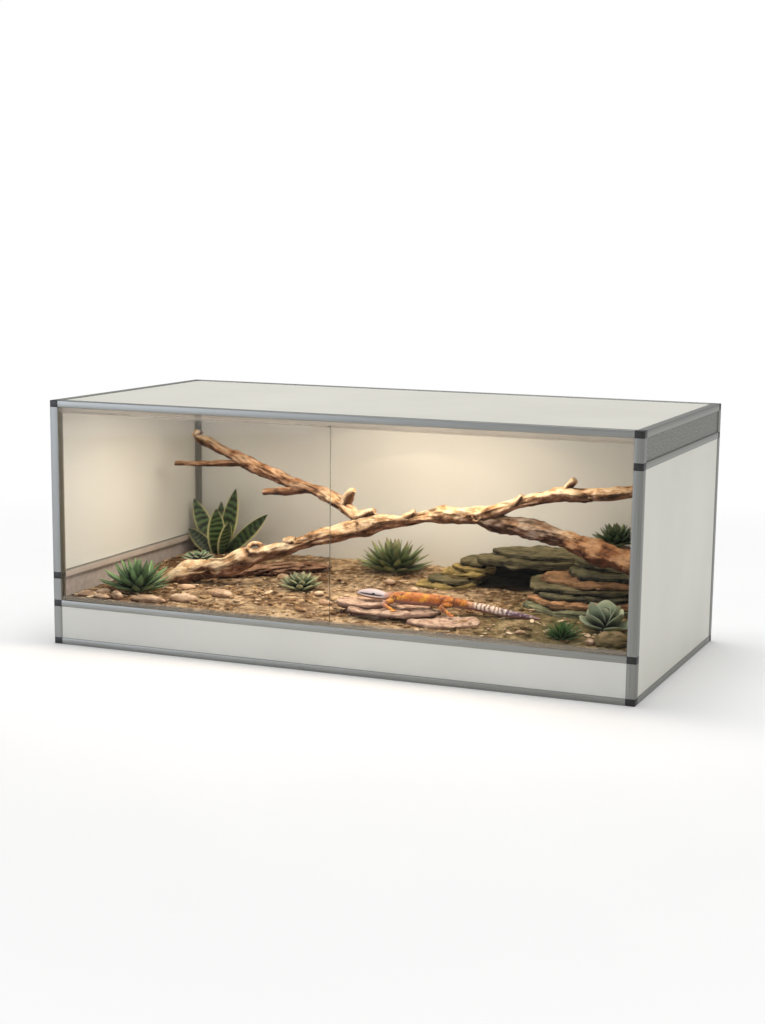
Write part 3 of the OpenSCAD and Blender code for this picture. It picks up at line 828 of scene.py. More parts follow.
@dataclass(frozen=True)
class GeckoSkin(Finish):
    """Small dry scales: a lilac head, an orange back with blotches, and a ringed tail."""

    start: float = 10
    end: float = 306
    stripes: Blots = (
        ((32, 0, 107.6), (26, 0, 1.3), "#efe6e0"), ((30, 0, 110.4), (26, 0, 1.5), "#120d0b"))

    def paint(self, node: Brush, place: Socket) -> Inputs:
        """Colour the animal along its length, then add blotches, rings, an underside darkened as painted
        shade, and eye stripe.

        Args:
            node: Adds a node.
            place: Coordinates in metres.

        Returns:
            The shader's inputs.
        """
        head, neck, back, cream, tail, tip, white, spot, gold, night, shaded_belly = self.colours
        wobble, patches, spots, flecks = (
            clouds(node, place, [size] * 3, detail, shift)
            for size, detail, shift in ((10, 3.0, 0.0), (17, 4.0, 6.0), (9, 3.0, 3.0), (4, 2.0, 8.0)))
        shifted = node("Math", {0: wobble, 1: 12 * MM, 2: node("SeparateXYZ", {0: place}, "X")},
                       operation="MULTIPLY_ADD")
        share = node("MapRange", {0: shifted, 1: self.start * MM, 2: self.end * MM})
        skin = node("ValToRGB", {0: share},
                    stops=((0.0, head), (0.16, head), (0.2, neck), (0.24, back), (0.6, back),
                           (0.65, cream), (0.77, cream), (0.82, tail), (0.93, tail), (1.0, tip)))
        torso, ringed, fading = (
            node("ValToRGB", {0: share},
                 stops=tuple(zip(places, ("#000000", "#ffffff", "#ffffff", "#000000"))))
            for places in ((0.18, 0.23, 0.6, 0.64), (0.62, 0.65, 0.8, 0.86), (0.74, 0.8, 0.93, 0.97)))
        turns = node("Math", {0: shifted, 1: 6.283 / (7 * MM)}, operation="MULTIPLY")
        rings = node("Math", {0: turns}, operation="SINE")
        for pattern, zone, code, low, high in (
                (patches, torso, gold, 0.48, 0.55), (spots, torso, spot, 0.5, 0.57),
                (rings, ringed, night, 0.55, 0.9), (rings, ringed, white, -0.4, -0.9),
                (flecks, fading, white, 0.56, 0.64)):
            there = node("MapRange", {0: pattern, 1: low, 2: high, 4: 0.9})
            there = node("Math", {0: there, 1: zone}, operation="MULTIPLY")
            skin = node("Mix", {0: there, 6: skin, 7: code}, 2, **COLOURS)
        # The underside's pinkish colour, darkened as painted shade, on faces that look down.
        skin = node("Mix", {0: upward(node, -0.05, -0.5), 6: skin, 7: shaded_belly}, 2, **COLOURS)
        for middle, half, code in self.stripes:
            stripe = node("MapRange", {0: blot(node, place, middle, half), 1: 0.75, 2: 1.0, 3: 1.0, 4: 0.0})
            skin = node("Mix", {0: stripe, 6: skin, 7: code}, 2, **COLOURS)
        scales = node("TexVoronoi", {"Vector": place, "Scale": per(1.7)})
        # Painted shade: the crevices are darkened.
        return {"Base Color": painted_crevice_shade(node, skin, 6, 0.35),
                "Normal": node("Bump", {"Height": scales, "Distance": 0.25 * MM})}


@dataclass(frozen=True)
class Palette:
    """Every finish of the terrarium."""

    # Drawn and anodised aluminium: a soft grey sheen with lines along each tube.
    tube_x: Finish = ExtrudedAluminium(
        "anodised_aluminium_x", ("#7f807b", "#8f908b"), 0.42, 1.0, grain=Axis.X)
    tube_y: Finish = ExtrudedAluminium(
        "anodised_aluminium_y", ("#83847f", "#93948f"), 0.42, 1.0, grain=Axis.Y)
    tube_z: Finish = ExtrudedAluminium(
        "anodised_aluminium_z", ("#7a7b76", "#8a8b87"), 0.42, 1.0, grain=Axis.Z)
    lamp: Finish = ExtrudedAluminium("lamp_extrusion", ("#a9aaa7", "#b6b7b4"), 0.4, 1.0, grain=Axis.X)
    # Self-adhesive film: matt cream with a faint tooth.
    lined: Finish = Grained("cream_lining_film", ("#b2a8a0", "#bcb2aa"), 0.55, grit=0.8, tone=30)
    # Glass-filled nylon, moulded: black with a fine matt grain.
    nylon: Finish = Grained("moulded_nylon", ("#0b0b09", "#11110e"), 0.46, grit=0.4, tone=20)
    # Melamine-coated board, pressed: off-white with an orange-peel sheen; a warmer copy on the roof and
    # right panel is painted light.
    board: Finish = Grained("coated_board", ("#d6d7d2", "#dedfda"), 0.42, grit=2.2, tone=240)
    board_warm: Finish = Grained("sunlit_coated_board", ("#d7d5ca", "#dfddd2"), 0.42, grit=2.2, tone=240)
    # Powder-coated sheet, punched: matt, mottled over its holes; the left strip's pale copy is painted
    # light and the right strip's darker copy is painted shade.
    punched: Finish = Grained("coated_punched_sheet", ("#aca29e", "#c2b9b4"), 0.6, grit=0.8, tone=9)
    punched_grey: Finish = Grained("grey_punched_sheet", ("#5f5f5b", "#93938e"), 0.6, grit=0.8, tone=3)
    # Float glass: clear and glossy with faint smears, grey-green and dull on its ground edges.
    glass: Finish = ClearSheet("float_glass", ("#eef5f0", "#f4f9f5"), 0.02, body=0.1)
    glass_edge: Finish = ClearSheet("ground_glass_edge", ("#4f5d57", "#5d6b64"), 0.3, body=0.62)
    # Polycarbonate, extruded: a milky strip that all but disappears.
    clear: Finish = HazyPlastic(
        "natural_extruded_plastic", ("#dccdb8", "#e2d4c1"), 0.35, haze=(110, 22, 22), detail=3.0,
        depth=0.01, body=0.12)
    # Opal acrylic: a warm, even glow.
    opal: Finish = HazyPlastic("opal_acrylic", ("#ffe9c4", "#fff0d6"), 0.5, glow=1.4)
    # Solder mask on a circuit board: flat white, slightly glossy.
    circuit: Finish = Grained(
        "white_circuit_board", ("#e8e8e0", "#efefe8"), 0.4, grit=0.6, depth=0.01, tone=12)
    # Zinc-plated steel: small bright greyish heads.
    steel: Finish = Grained(
        "zinc_plated_steel", ("#a5a6a4", "#b9bab8"), 0.32, 1.0, grit=0.3, depth=0.01, tone=3)
    # Moulded rubber: dull black.
    rubber: Finish = Grained("black_rubber", ("#161615", "#1e1e1c"), 0.75, grit=0.5, depth=0.04, tone=8)
    # Pine bark and desert sand: crumbly and speckled, brown to straw.
    soil: Finish = BarkSand("bark_and_sand", ("#2b1e15", "#6c523c", "#a68966", "#dfc6a2", "#78754f"), 0.95)
    litter: Finish = BarkSand("bark_crumbs", ("#3a261a", "#7a5a3c", "#a8865e", "#d2b48a", "#5f5a40"), 0.9)
    gravel: Finish = WornStone("pale_gravel", ("#7d6248", "#b89876", "#dcc09c", "#efdcc0"), 0.8)
    # Sand-blasted driftwood: streaked along the grain, with painted light on its tops and painted shade
    # near its ends.
    wood: Finish = WeatheredWood(
        "weathered_driftwood", ("#32200f", "#77523a", "#a87e66", "#caa074", "#f6dfba"), 0.75,
        stains=(((-270, 80, 268), (215, 90, 78), "#c0b2ae"),
                ((230, 35, 200), (100, 70, 30), "#b0aeb8"),
                ((400, -15, 165), (190, 90, 52), "#bca18e")))
    # Bark: reddish, rough and dull, with painted light on its tops.
    bark: Finish = WeatheredWood(
        "reddish_bark", ("#2a1812", "#60402e", "#8a6450", "#96725a", "#b89478"), 0.85, crack=1.0,
        bleach=0.8)
    # Split slate: layered slabs in olive, ochre, grey-green, rust and sage, with painted light on top and
    # painted shade below.
    slate_roof: Finish = SplitSlate("olive_slate", ("#28241a", "#4f4b33", "#787152", "#7e6c4a"), 0.7)
    # Nearly black slate for the back of the cave, which stands in shade: painted shade.
    slate_deep: Finish = SplitSlate("unlit_slate", ("#0d0c09", "#1a1812", "#26241b", "#221e16"), 0.85)
    slate_ochre: Finish = SplitSlate("ochre_slate", ("#3f331a", "#7c6839", "#b3a065", "#b08a52"), 0.75)
    slate_stack: Finish = SplitSlate("grey_green_slate", ("#24221a", "#484838", "#6f6c50", "#7d6c50"), 0.75)
    slate_rust: Finish = SplitSlate("rusty_slate", ("#4a3526", "#8d6a4a", "#bb9068", "#cda07e"), 0.78)
    slate_sage: Finish = SplitSlate("sage_slate", ("#373a2e", "#62664e", "#888c6c", "#8e8664"), 0.75)
    # River sandstone: smooth and banded, with painted light on top and painted shade below.
    flat_stone: Finish = WornStone("pink_sandstone", ("#664a3d", "#977766", "#bf9e88", "#dcc0aa"), 0.75)
    pebble: Finish = WornStone("pale_sandstone", ("#6a4e3a", "#a98668", "#cdab8a", "#ead0b4"), 0.8)
    mossy: Finish = WornStone("mossy_stone", ("#3d3a24", "#7a6a48", "#98805c", "#a08a68"), 0.9)
    # Living leaves: waxy, each plant with its own green and margin; a few are paler at the foot, and a
    # darker foot on the rest is painted shade.
    agave: Finish = LeafSkin(
        "agave_leaf", ("#56784a", "#a3bd80", "#82a470", "#768f5c"), 0.42, margin="#4a6a4a")
    # A paler copy of the agave leaf for the rear plant, which stands in shade: painted light.
    agave_dark: Finish = LeafSkin(
        "dark_agave_leaf", ("#8cab70", "#b0c488", "#98a874", "#8c7860"), 0.45, margin="#6c8258")
    aloe: Finish = LeafSkin(
        "aloe_leaf", ("#82a05a", "#6c8f4e", "#557842", "#5f5a3c"), 0.42, margin="#4a6640")
    echeveria: Finish = LeafSkin(
        "echeveria_leaf", ("#4f6a44", "#7f9a6a", "#9db587", "#b9a888"), 0.5, margin="#b4c098",
        margin_at=0.88)
    variegated: Finish = LeafSkin(
        "variegated_leaf", ("#2f5c3c", "#417a4e", "#5c8f64"), 0.45, margin="#dfe6c8", margin_at=0.62)
    sansevieria: Finish = LeafSkin(
        "snake_plant_leaf", ("#10190b", "#4a6432", "#50693a", "#31492a"), 0.4, margin="#cbcb92",
        bands=9.0)
    broad: Finish = LeafSkin(
        "blue_succulent_leaf", ("#4a6250", "#71876f", "#93a68c", "#b0b498"), 0.6, margin="#a8b49a",
        margin_at=0.9)
    grass: Finish = LeafSkin("grass_blade", ("#587a3c", "#45752f", "#3c6a2c"), 0.5, margin="#5f8a4a")
    # Gecko hide: dry, finely scaled, lilac, orange and ringed.
    gecko: Finish = GeckoSkin(
        "gecko_scales",
        ("#c9bcc2", "#b07c66", "#c06c1d", "#dcbea8", "#6e5068", "#b98f92", "#efe6e0", "#74330f",
         "#e09c26", "#4a222a", "#946a5e"), 0.55)
    # A moist eye: black and shiny.
    eye: Finish = Grained("wet_eye", ("#0b0908", "#17110d"), 0.12, grit=1.0, depth=0.0, tone=3)

    def make(self) -> Finishes:
        """Build every finish and give the materials by field name."""
        return {key: getattr(self, key).build() for key in self.__dataclass_fields__}


# ---- case


@dataclass(frozen=True)
class CaseSize:
    """Sizes in millimetres that the parts of the case share.

    The sill is the underside of the rail above the plinth. The inset is how far the boards lie
    behind the outer face of the tubes, and the vent sheets lie a setback behind that.
    """

    width: float = 1000
    depth: float = 500
    height: float = 408
    post: float = 15
    rail: float = 11
    sill: float = 64
    vent: float = 36
    inset: float = 1

    @property
    def bay_x(self) -> float:
        """Half of the clear width between the posts."""
        return self.width / 2 - self.post

    @property
    def bay_y(self) -> float:
        """Half of the clear depth between the posts."""
        return self.depth / 2 - self.post

    def edge_x(self, side: int) -> list[float]:
        """Give both faces of the tubes at the left (-1) or the right (1)."""
        return sorted((side * self.width / 2, side * self.bay_x))

    def edge_y(self, side: int) -> list[float]:
        """Give both faces of the tubes at the front (-1) or the back (1)."""
        return sorted((side * self.depth / 2, side * self.bay_y))

    @property
    def top(self) -> float:
        """Underside of the top rails."""
        return self.height - self.rail

    @property
    def left_vent(self) -> float:
        """Top of the left vent."""
        return self.sill + self.rail + self.vent

    @property
    def right_vent(self) -> float:
        """Underside of the right vent's lower rail."""
        return self.top - self.vent - self.rail


@dataclass
class TubeFrame:
    """The rails and posts: lengths of anodised tube with rounded corners and open ends."""

    size: CaseSize
    finishes: Finishes
    wall: float = 1.2
    corner: float = 0.9
    film: float = 0.5

    def tube(self, low: Triple, high: Triple, axis: Axis) -> Object:
        """Make one length of tube from a box whose ends are opened.

        Args:
            low: Lowest corner in millimetres.
            high: Highest corner in millimetres.
            axis: The way it runs.

        Returns:
            The tube.
        """
        item = block(mm(*low), mm(*high))
        with editing(item):
            pick(item, Part.FACE, lambda face: abs(face.normal[axis.value]) > 0.9)
            bpy.ops.mesh.delete(type="FACE")
            pick(item, Part.EDGE, runs_along(axis))
            bpy.ops.mesh.bevel(offset=self.corner * MM, segments=3, affect="EDGES")
        apply_modifier(item, "SOLIDIFY", thickness=self.wall * MM, offset=-1, use_even_offset=True)
        shade(item, 35)
        return item

    def rail_x(self, side: int, z: float) -> Object:
        """Make a rail along the width, at the front (-1) or the back (1), on its underside z."""
        size, (near, far) = self.size, self.size.edge_y(side)
        return self.tube((-size.bay_x, near, z), (size.bay_x, far, z + size.rail), Axis.X)

    def rail_y(self, side: int, z: float) -> Object:
        """Make a rail along the depth, at the left (-1) or the right (1), on its underside z."""
        size, (left, right) = self.size, self.size.edge_x(side)
        return self.tube((left, -size.bay_y, z), (right, size.bay_y, z + size.rail), Axis.Y)

    def post(self, x_side: int, y_side: int, levels: Sequence[float]) -> Object:
        """Make the lengths of a post between its connectors.

        Args:
            x_side: Left (-1) or right (1).
            y_side: Front (-1) or back (1).
            levels: The underside of each connector.

        Returns:
            The post.
        """
        (left, right), (near, far) = self.size.edge_x(x_side), self.size.edge_y(y_side)
        lengths = [self.tube((left, near, low + self.size.rail), (right, far, high), Axis.Z)
                   for low, high in zip(levels, levels[1:])]
        return merged("post", lengths)

    def build(self) -> None:
        """Make every tube of the frame."""
        size = self.size
        left = (0, size.sill, size.left_vent, size.top)
        right = (0, size.sill, size.right_vent, size.top)
        for name, tube, grain in (
                ("bottom_front_rail", self.rail_x(-1, 0), "tube_x"),
                ("bottom_rear_rail", self.rail_x(1, 0), "tube_x"),
                ("sill_rail", self.rail_x(-1, size.sill), "tube_x"),
                ("top_front_rail", self.rail_x(-1, size.top), "tube_x"),
                ("top_rear_rail", self.rail_x(1, size.top), "tube_x"),
                ("bottom_side_rails", merged("pair", [self.rail_y(s, 0) for s in (-1, 1)]), "tube_y"),
                ("top_side_rails", merged("pair", [self.rail_y(s, size.top) for s in (-1, 1)]),
                 "tube_y"),
                ("left_vent_lower_rail", self.rail_y(-1, size.sill), "tube_y"),
                ("left_vent_upper_rail", self.rail_y(-1, size.left_vent), "tube_y"),
                ("right_vent_lower_rail", self.rail_y(1, size.right_vent), "tube_y"),
                ("front_left_post", self.post(-1, -1, left), "tube_z"),
                ("rear_left_post", self.post(-1, 1, left), "tube_z"),
                ("front_right_post", self.post(1, -1, right), "tube_z"),
                ("rear_right_post", self.post(1, 1, (0, size.right_vent, size.top)), "tube_z")):
            tube.name = f"{name}_tube"
            tube.data.materials.append(self.finishes[grain])
            if name == "left_vent_upper_rail":
                tube.data.materials.append(self.finishes["lined"])
                with editing(tube):
                    pick(tube, Part.FACE, lambda face: face.normal.x > 0.9
                         and face.calc_center_median().x > -(size.bay_x + self.film) * MM)
                    tube.active_material_index = 1
                    bpy.ops.object.material_slot_assign()
            deliver(tube, CASE, "aluminium_tube", None, name)


@dataclass
class Connectors:
    """The nylon corner blocks, whose legs are pushed into the tubes."""

    size: CaseSize
    finish: Material
    leg: float = 16
    clearance: float = 1.4
    overlap: float = 0.5
    corner: float = 1.1
    leg_corner: float = 0.8

    def piece(self, x_side: int, y_side: int, z: float, ways: str) -> Object:
        """Make one connector.

        Args:
            x_side: Left (-1) or right (1).
            y_side: Front (-1) or back (1).
            z: Its underside.
            ways: Its legs: x and y for the rails, u for up and d for down.

        Returns:
            The connector.
        """
        size = self.size
        half = Vector((size.post, size.post, size.rail)) / 2
        middle = Vector((x_side * (size.bay_x + half.x), y_side * (size.bay_y + half.y), z + half.z))
        body = block((middle - half) * MM, (middle + half) * MM)
        soften(body, self.corner * MM, 3)
        shade(body, 60)
        parts = [body]
        for way in ways:
            axis, sign = {"x": (0, -x_side), "y": (1, -y_side), "u": (2, 1), "d": (2, -1)}[way]
            slim = half - Vector((self.clearance,) * 3)
            slim[axis] = self.leg / 2
            centre = middle.copy()
            centre[axis] += sign * (half[axis] + self.leg / 2 - self.overlap)
            leg = block((centre - slim) * MM, (centre + slim) * MM)
            soften(leg, self.leg_corner * MM)
            parts.append(leg)
        return merged("connector", parts)

    def build(self) -> None:
        """Make the five sets of connectors."""
        size = self.size
        corners = [(x, y) for x in (-1, 1) for y in (-1, 1)]
        sets = {
            "bottom_connectors": [(x, y, 0, "xyu") for x, y in corners],
            "top_connectors": [(x, y, size.top, "xyd") for x, y in corners],
            "sill_connectors": [(-1, -1, size.sill, "xyud"), (1, -1, size.sill, "xud"),
                                (-1, 1, size.sill, "yud")],
            "left_vent_connectors": [(-1, y, size.left_vent, "yud") for y in (-1, 1)],
            "right_vent_connectors": [(1, y, size.right_vent, "yud") for y in (-1, 1)],
        }
        for name, places in sets.items():
            piece = merged(f"{name}_nylon", [self.piece(*place) for place in places])
            deliver(piece, CASE, "black_nylon", self.finish, name)


@dataclass
class Vents:
    """The two strips of punched sheet that close the vent openings at the ends."""

    size: CaseSize
    finishes: Finishes
    pitch: float = 6.0
    bore: float = 2.1
    thick: float = 0.8
    setback: float = 1.6

    def strip(self, name: str, x: float, z: float) -> Object:
        """Punch one strip, from a single cell that is repeated both ways.

        Args:
            name: Name of the piece.
            x: The middle of its thickness.
            z: Its lower edge.

        Returns:
            The strip.
        """
        size = self.size
        along, up = round(2 * size.bay_y / self.pitch), round(size.vent / self.pitch)
        step_y, step_z = 2 * size.bay_y / along * MM, size.vent / up * MM
        item = primitive(bpy.ops.mesh.primitive_plane_add, (step_z, step_y, 1), size=1,
                         rotation=(0, radians(90), 0))
        with editing(item):
            bpy.ops.mesh.select_all(action="SELECT")
            bpy.ops.mesh.subdivide(number_cuts=1)
            pick(item, Part.VERT, lambda vert: vert.co.length < 1e-5)
            bpy.ops.mesh.bevel(offset=self.bore * MM, segments=2, profile=0.5, affect="VERTICES")
            pick(item, Part.FACE, lambda face: face.calc_center_median().length < 0.15 * MM)
            bpy.ops.mesh.delete(type="FACE")
        for count, step in ((along, (0, step_y, 0)), (up, (0, 0, step_z))):
            apply_modifier(item, "ARRAY", count=count, use_relative_offset=False,
                           use_constant_offset=True, constant_offset_displace=step,
                           use_merge_vertices=True, merge_threshold=0.01 * MM)
        apply_modifier(item, "SOLIDIFY", thickness=self.thick * MM, offset=0)
        item.location = mm(x, 0, z) + Vector((0, step_y / 2 - size.bay_y * MM, step_z / 2))
        settle(item)
        item.name = name
        return item

    def build(self) -> None:
        """Make both strips."""
        size = self.size
        edge = size.width / 2 - size.inset
        # The left strip takes a pale copy of the sheet and the right a darker one: painted light and shade.
        for name, x, z, kind in (
                ("left_vent", self.setback - edge, size.left_vent - size.vent, "punched"),
                ("right_vent", edge - self.setback, size.top - size.vent, "punched_grey")):
            deliver(self.strip(f"{name}_sheet", x, z), CASE, "vent_sheet", self.finishes[kind], name)


@dataclass
class Doors:
    """Two sliding panes of float glass with ground edges."""

    finish: Material
    edge_finish: Material
    thick: float = 4
    low: float = 76.5
    high: float = 390.6
    outer: float = 483.5
    overlap: float = 4
    front: float = -245.5
    rear: float = -239.5
    arris: float = 0.5

    def pane(self, name: str, x0: float, x1: float, y: float) -> Object:
        """Make one pane with ground edges.

        Args:
            name: Name of the piece.
            x0: Its left edge.
            x1: Its right edge.
            y: The middle of its thickness.

        Returns:
            The pane.
        """
        item = block(mm(x0, y - self.thick / 2, self.low), mm(x1, y + self.thick / 2, self.high))
        soften(item, self.arris * MM, 1)
        item.name = name
        item.data.materials.append(self.finish)
        item.data.materials.append(self.edge_finish)
        for face in item.data.polygons:
            face.material_index = int(y == self.front and abs(face.normal.y) < 0.9)
        return item

    def build(self) -> None:
        """Make both panes; each rides on its own body."""
        for side, x0, x1, y in (("left", -self.outer, self.overlap, self.front),
                                ("right", -self.overlap, self.outer, self.rear)):
            pane = self.pane(f"{side}_glass_pane", x0, x1, y)
            deliver(pane, f"{side}_door", "door_glass", None, f"{side}_glass_door")


@dataclass
class Fittings:
    """The parts that are used as built: boards, tracks, lamp and grommet."""

    finishes: Finishes
    kinds: dict[str, tuple[str, ...]] = field(default_factory=lambda: {
        "board": ("floor_panel", "back_panel", "left_upper_panel", "left_plinth_panel",
                  "front_plinth_panel"),
        # A warmer copy of the board, as painted light.
        "board_warm": ("roof_panel", "right_panel"),
        "clear": ("lower_door_track", "upper_door_track", "door_side_strips"),
        "lamp": ("lamp_housing", "lamp_brackets"),
        "nylon": ("lamp_end_caps",),
        "opal": ("lamp_diffuser",),
        "circuit": ("lamp_led_board",),
        "steel": ("lamp_screws",),
        "rubber": ("cable_grommet",),
    })

    def build(self) -> None:
        """Give each carried-over node its finish."""
        for kind, names in self.kinds.items():
            for name in names:
                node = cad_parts[name]
                node.data.materials.clear()
                node.data.materials.append(self.finishes[kind])
                LOG.info("%s: finished as %s", name, kind)


# ---- landscape


@dataclass(frozen=True)
class Terrain:
    """The height of the ground, rising towards the back, with low mounds."""

    front: float = 78
    rise: float = 12
    reach: float = 235
    bend: float = 1.1
    ripple: float = 0.9
    # Place from left to right and from front to back, radius and height of each mound.
    mounds: Rows = ((-60, 110, 90, 5), (260, 60, 150, 3), (-400, 150, 80, 4), (-230, -80, 70, 3))

    def height(self, x: float, y: float) -> float:
        """Give the height of the ground in millimetres.

        Args:
            x: Place from left to right.
            y: Place from front to back.

        Returns:
            The height above the surface that the case stands on.
        """
        slope = self.rise * max(0.0, (y + self.reach) / (2 * self.reach)) ** self.bend
        lumps = sum(h * math.exp(-((x - cx) ** 2 + (y - cy) ** 2) / r ** 2)
                    for cx, cy, r, h in self.mounds)
        ripple = self.ripple * math.sin(radians(3.1 * x + 1.7 * y)) * math.cos(
            radians(1.3 * x - 4.3 * y))
        return self.front + slope + lumps + ripple


@dataclass
class Ground:
    """The soil bed, with loose bark, splinters and gravel on it."""

    terrain: Terrain
    finishes: Finishes
    left: float = -484.95
    right: float = 493.95
    near: float = -234.95
    far: float = 243.95
    floor: float = 11.05
    above: float = 130
    cells: tuple[int, int] = (319, 156)
    # The rear right post stands where both of these are passed.
    post: tuple[float, float] = (484.8, 234.8)
    # Size and height of the swells and of the crumbs.
    swells: tuple[float, float] = (24, 5)
    crumbs: tuple[float, float] = (7, 3.6)
    # Loose bits lie within this reach, out of the cave, whose floor ends at these places.
    spread: tuple[float, float] = (478, 228)
    cave_left: float = 70
    cave_right: float = 290
    cave_front: float = 70
    splinters: float = 0.45
    lift: float = 1.4

    def bed(self) -> Object:
        """Drape a fine grid over the ground, then close it down to the floor.

        Returns:
            The soil bed.
        """
        width, depth = self.right - self.left, self.far - self.near
        item = primitive(
            bpy.ops.mesh.primitive_grid_add, (width * MM, depth * MM, 1),
            x_subdivisions=self.cells[0], y_subdivisions=self.cells[1], size=1,
            location=mm((self.left + self.right) / 2, (self.near + self.far) / 2, self.above))
        with editing(item):
            pick(item, Part.FACE, lambda face: face.calc_center_median().x > self.post[0] * MM
                 and face.calc_center_median().y > self.post[1] * MM)
            bpy.ops.mesh.delete(type="FACE")
        apply_modifier(item, "SHRINKWRAP", target=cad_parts["substrate"],
                       wrap_method="PROJECT", use_project_z=True, use_negative_direction=True,
                       use_positive_direction=False)
        roughen(item, self.swells[0] * MM, self.swells[1] * MM, 11)
        roughen(item, self.crumbs[0] * MM, self.crumbs[1] * MM, 12, kind=Noise.HARD, middle=0.35)
        with editing(item):
            pick(item, Part.EDGE, lambda edge: edge.is_boundary)
            bpy.ops.mesh.extrude_edges_move(TRANSFORM_OT_translate={"value": (0, 0, -0.02)})
            bpy.ops.transform.resize(value=(1, 1, 0), center_override=(0, 0, self.floor * MM))
            bpy.ops.mesh.edge_face_add()
            bpy.ops.mesh.select_all(action="SELECT")
            bpy.ops.mesh.normals_make_consistent(inside=False)
        item.name = "soil_bed"
        shade(item, 70)
        return item

    def litter(self, name: str, seed: int, count: int, pebbles: float) -> Object:
        """Scatter chips, splinters and pebbles over the bed.

        Args:
            name: Name of the piece.
            seed: Chooses the places.
            count: How many there are.
            pebbles: The share of them that are pebbles.

        Returns:
            All of them as one piece.
        """
        draw = random.Random(seed)
        far_x, far_y = self.spread
        pebble = primitive(bpy.ops.mesh.primitive_ico_sphere_add, subdivisions=1, radius=1 * MM)
        splinter = primitive(bpy.ops.mesh.primitive_cone_add, vertices=5, radius1=1 * MM,
                             radius2=0.3 * MM, depth=2 * MM, rotation=(0, radians(90), 0))
        chip = block(mm(-1, -1, -1), mm(1, 1, 1))
        soften(chip, 0.4 * MM, 1)
        scattered = []
        for _ in range(count):
            x, y = draw.uniform(-far_x, far_x), draw.uniform(-far_y, far_y)
            if self.cave_left < x < self.cave_right and y > self.cave_front:
                continue
            # Half the length, width and height of each bit.
            if draw.random() < pebbles:
                pattern = pebble
                size = (draw.uniform(1.4, 4.6), draw.uniform(1.2, 3.8), draw.uniform(1, 2.6))
            elif draw.random() < self.splinters:
                pattern, size = splinter, (draw.uniform(3, 13), draw.uniform(0.8, 2), 0.9)
            else:
                pattern = chip
                size = (draw.uniform(2.5, 9), draw.uniform(1.8, 5.5), draw.uniform(0.8, 1.8))
            turn = Matrix.Rotation(draw.uniform(0, 6.28), 4, "Z") @ Matrix.Rotation(
                draw.uniform(-0.22, 0.22), 4, "Y")
            place = Matrix.Translation(mm(x, y, self.terrain.height(x, y) + self.lift))
            scattered.append(twin(pattern, place @ turn @ Matrix.Diagonal((*size, 1))))
        discard(pebble, splinter, chip)
        return merged(name, scattered)

    def build(self) -> None:
        """Make the bed and its litter."""
        deliver(self.bed(), CASE, "soil", self.finishes["soil"], "substrate")
        deliver(self.litter("bark_litter", 5, 900, 0.08), CASE, "soil", self.finishes["litter"])
        deliver(self.litter("gravel_litter", 6, 460, 0.75), CASE, "soil", self.finishes["gravel"])


def stick(points: Sequence[Sequence[float]], steps: int, sides: int, step: float,
          lumps: tuple[float, float] = (0, 0), grooves: tuple[float, float] = (0, 0),
          seed: int = 1, twist: float = 0) -> Object:
    """Lay a straight stick along a route, as wide and as high as the route says.

    Its lumps are somewhat longer than wide, and its grooves are much longer than wide.

    Args:
        points: The route: place, half width and half height in millimetres.
        steps: Points that the route is smoothed to, for each that is given.
        sides: Faces around the stick.
        step: Distance between its rings in millimetres.
        lumps: Size and height of lumps in millimetres.
        grooves: Size and height of grooves that run along it in millimetres.
        seed: Chooses the lumps and grooves.
        twist: How far its grain winds around it, in degrees.

    Returns:
        The bent stick.
    """
    route = catmull(points, steps)
    places = [mm(*point[:3]) for point in route]
    length = sum((b - a).length for a, b in zip(places, places[1:]))
    flat = sum(point[4] for point in route) / sum(point[3] for point in route)
    radius = 10 * MM
    item = primitive(bpy.ops.mesh.primitive_cylinder_add, vertices=sides, radius=radius,
                     depth=length, end_fill_type="TRIFAN", location=(length / 2, 0, 0),
                     rotation=(0, radians(90), 0))
    with editing(item):
        pick(item, Part.EDGE, runs_along(Axis.X))
        bpy.ops.mesh.subdivide(number_cuts=max(1, round(length / MM / step) - 1))
    chart(item, lambda place: (place.y, place.z, place.x))
    if lumps[1]:
        roughen(item, lumps[0] * MM, lumps[1] * MM, seed, (2.4, 1, 1))
    if grooves[1]:
        roughen(item, grooves[0] * MM, grooves[1] * MM, seed + 1, (6, 1, 1), Noise.HARD, 0.4)
    if twist:
        apply_modifier(item, "SIMPLE_DEFORM", deform_method="TWIST", deform_axis="X",
                       angle=radians(twist))
    with editing(item):
        bpy.ops.mesh.select_all(action="SELECT")
        bpy.ops.transform.resize(value=(1, 1, flat), center_override=(0, 0, 0))
    data = bpy.data.curves.new("route", "CURVE")
    data.dimensions = "3D"
    data.twist_mode = "Z_UP"
    data.use_radius = data.use_stretch = data.use_deform_bounds = True
    spline = data.splines.new("POLY")
    spline.points.add(len(route) - 1)
    for target, place, point in zip(spline.points, places, route):
        target.co = (*place, 1)
        target.radius = max(0.5, point[3]) * MM / radius
    guide = bpy.data.objects.new("route", data)
    bpy.context.scene.collection.objects.link(guide)
    apply_modifier(item, "CURVE", object=guide, deform_axis="POS_X")
    discard(guide)
    bpy.data.curves.remove(data)
    shade(item, 60)
    return item


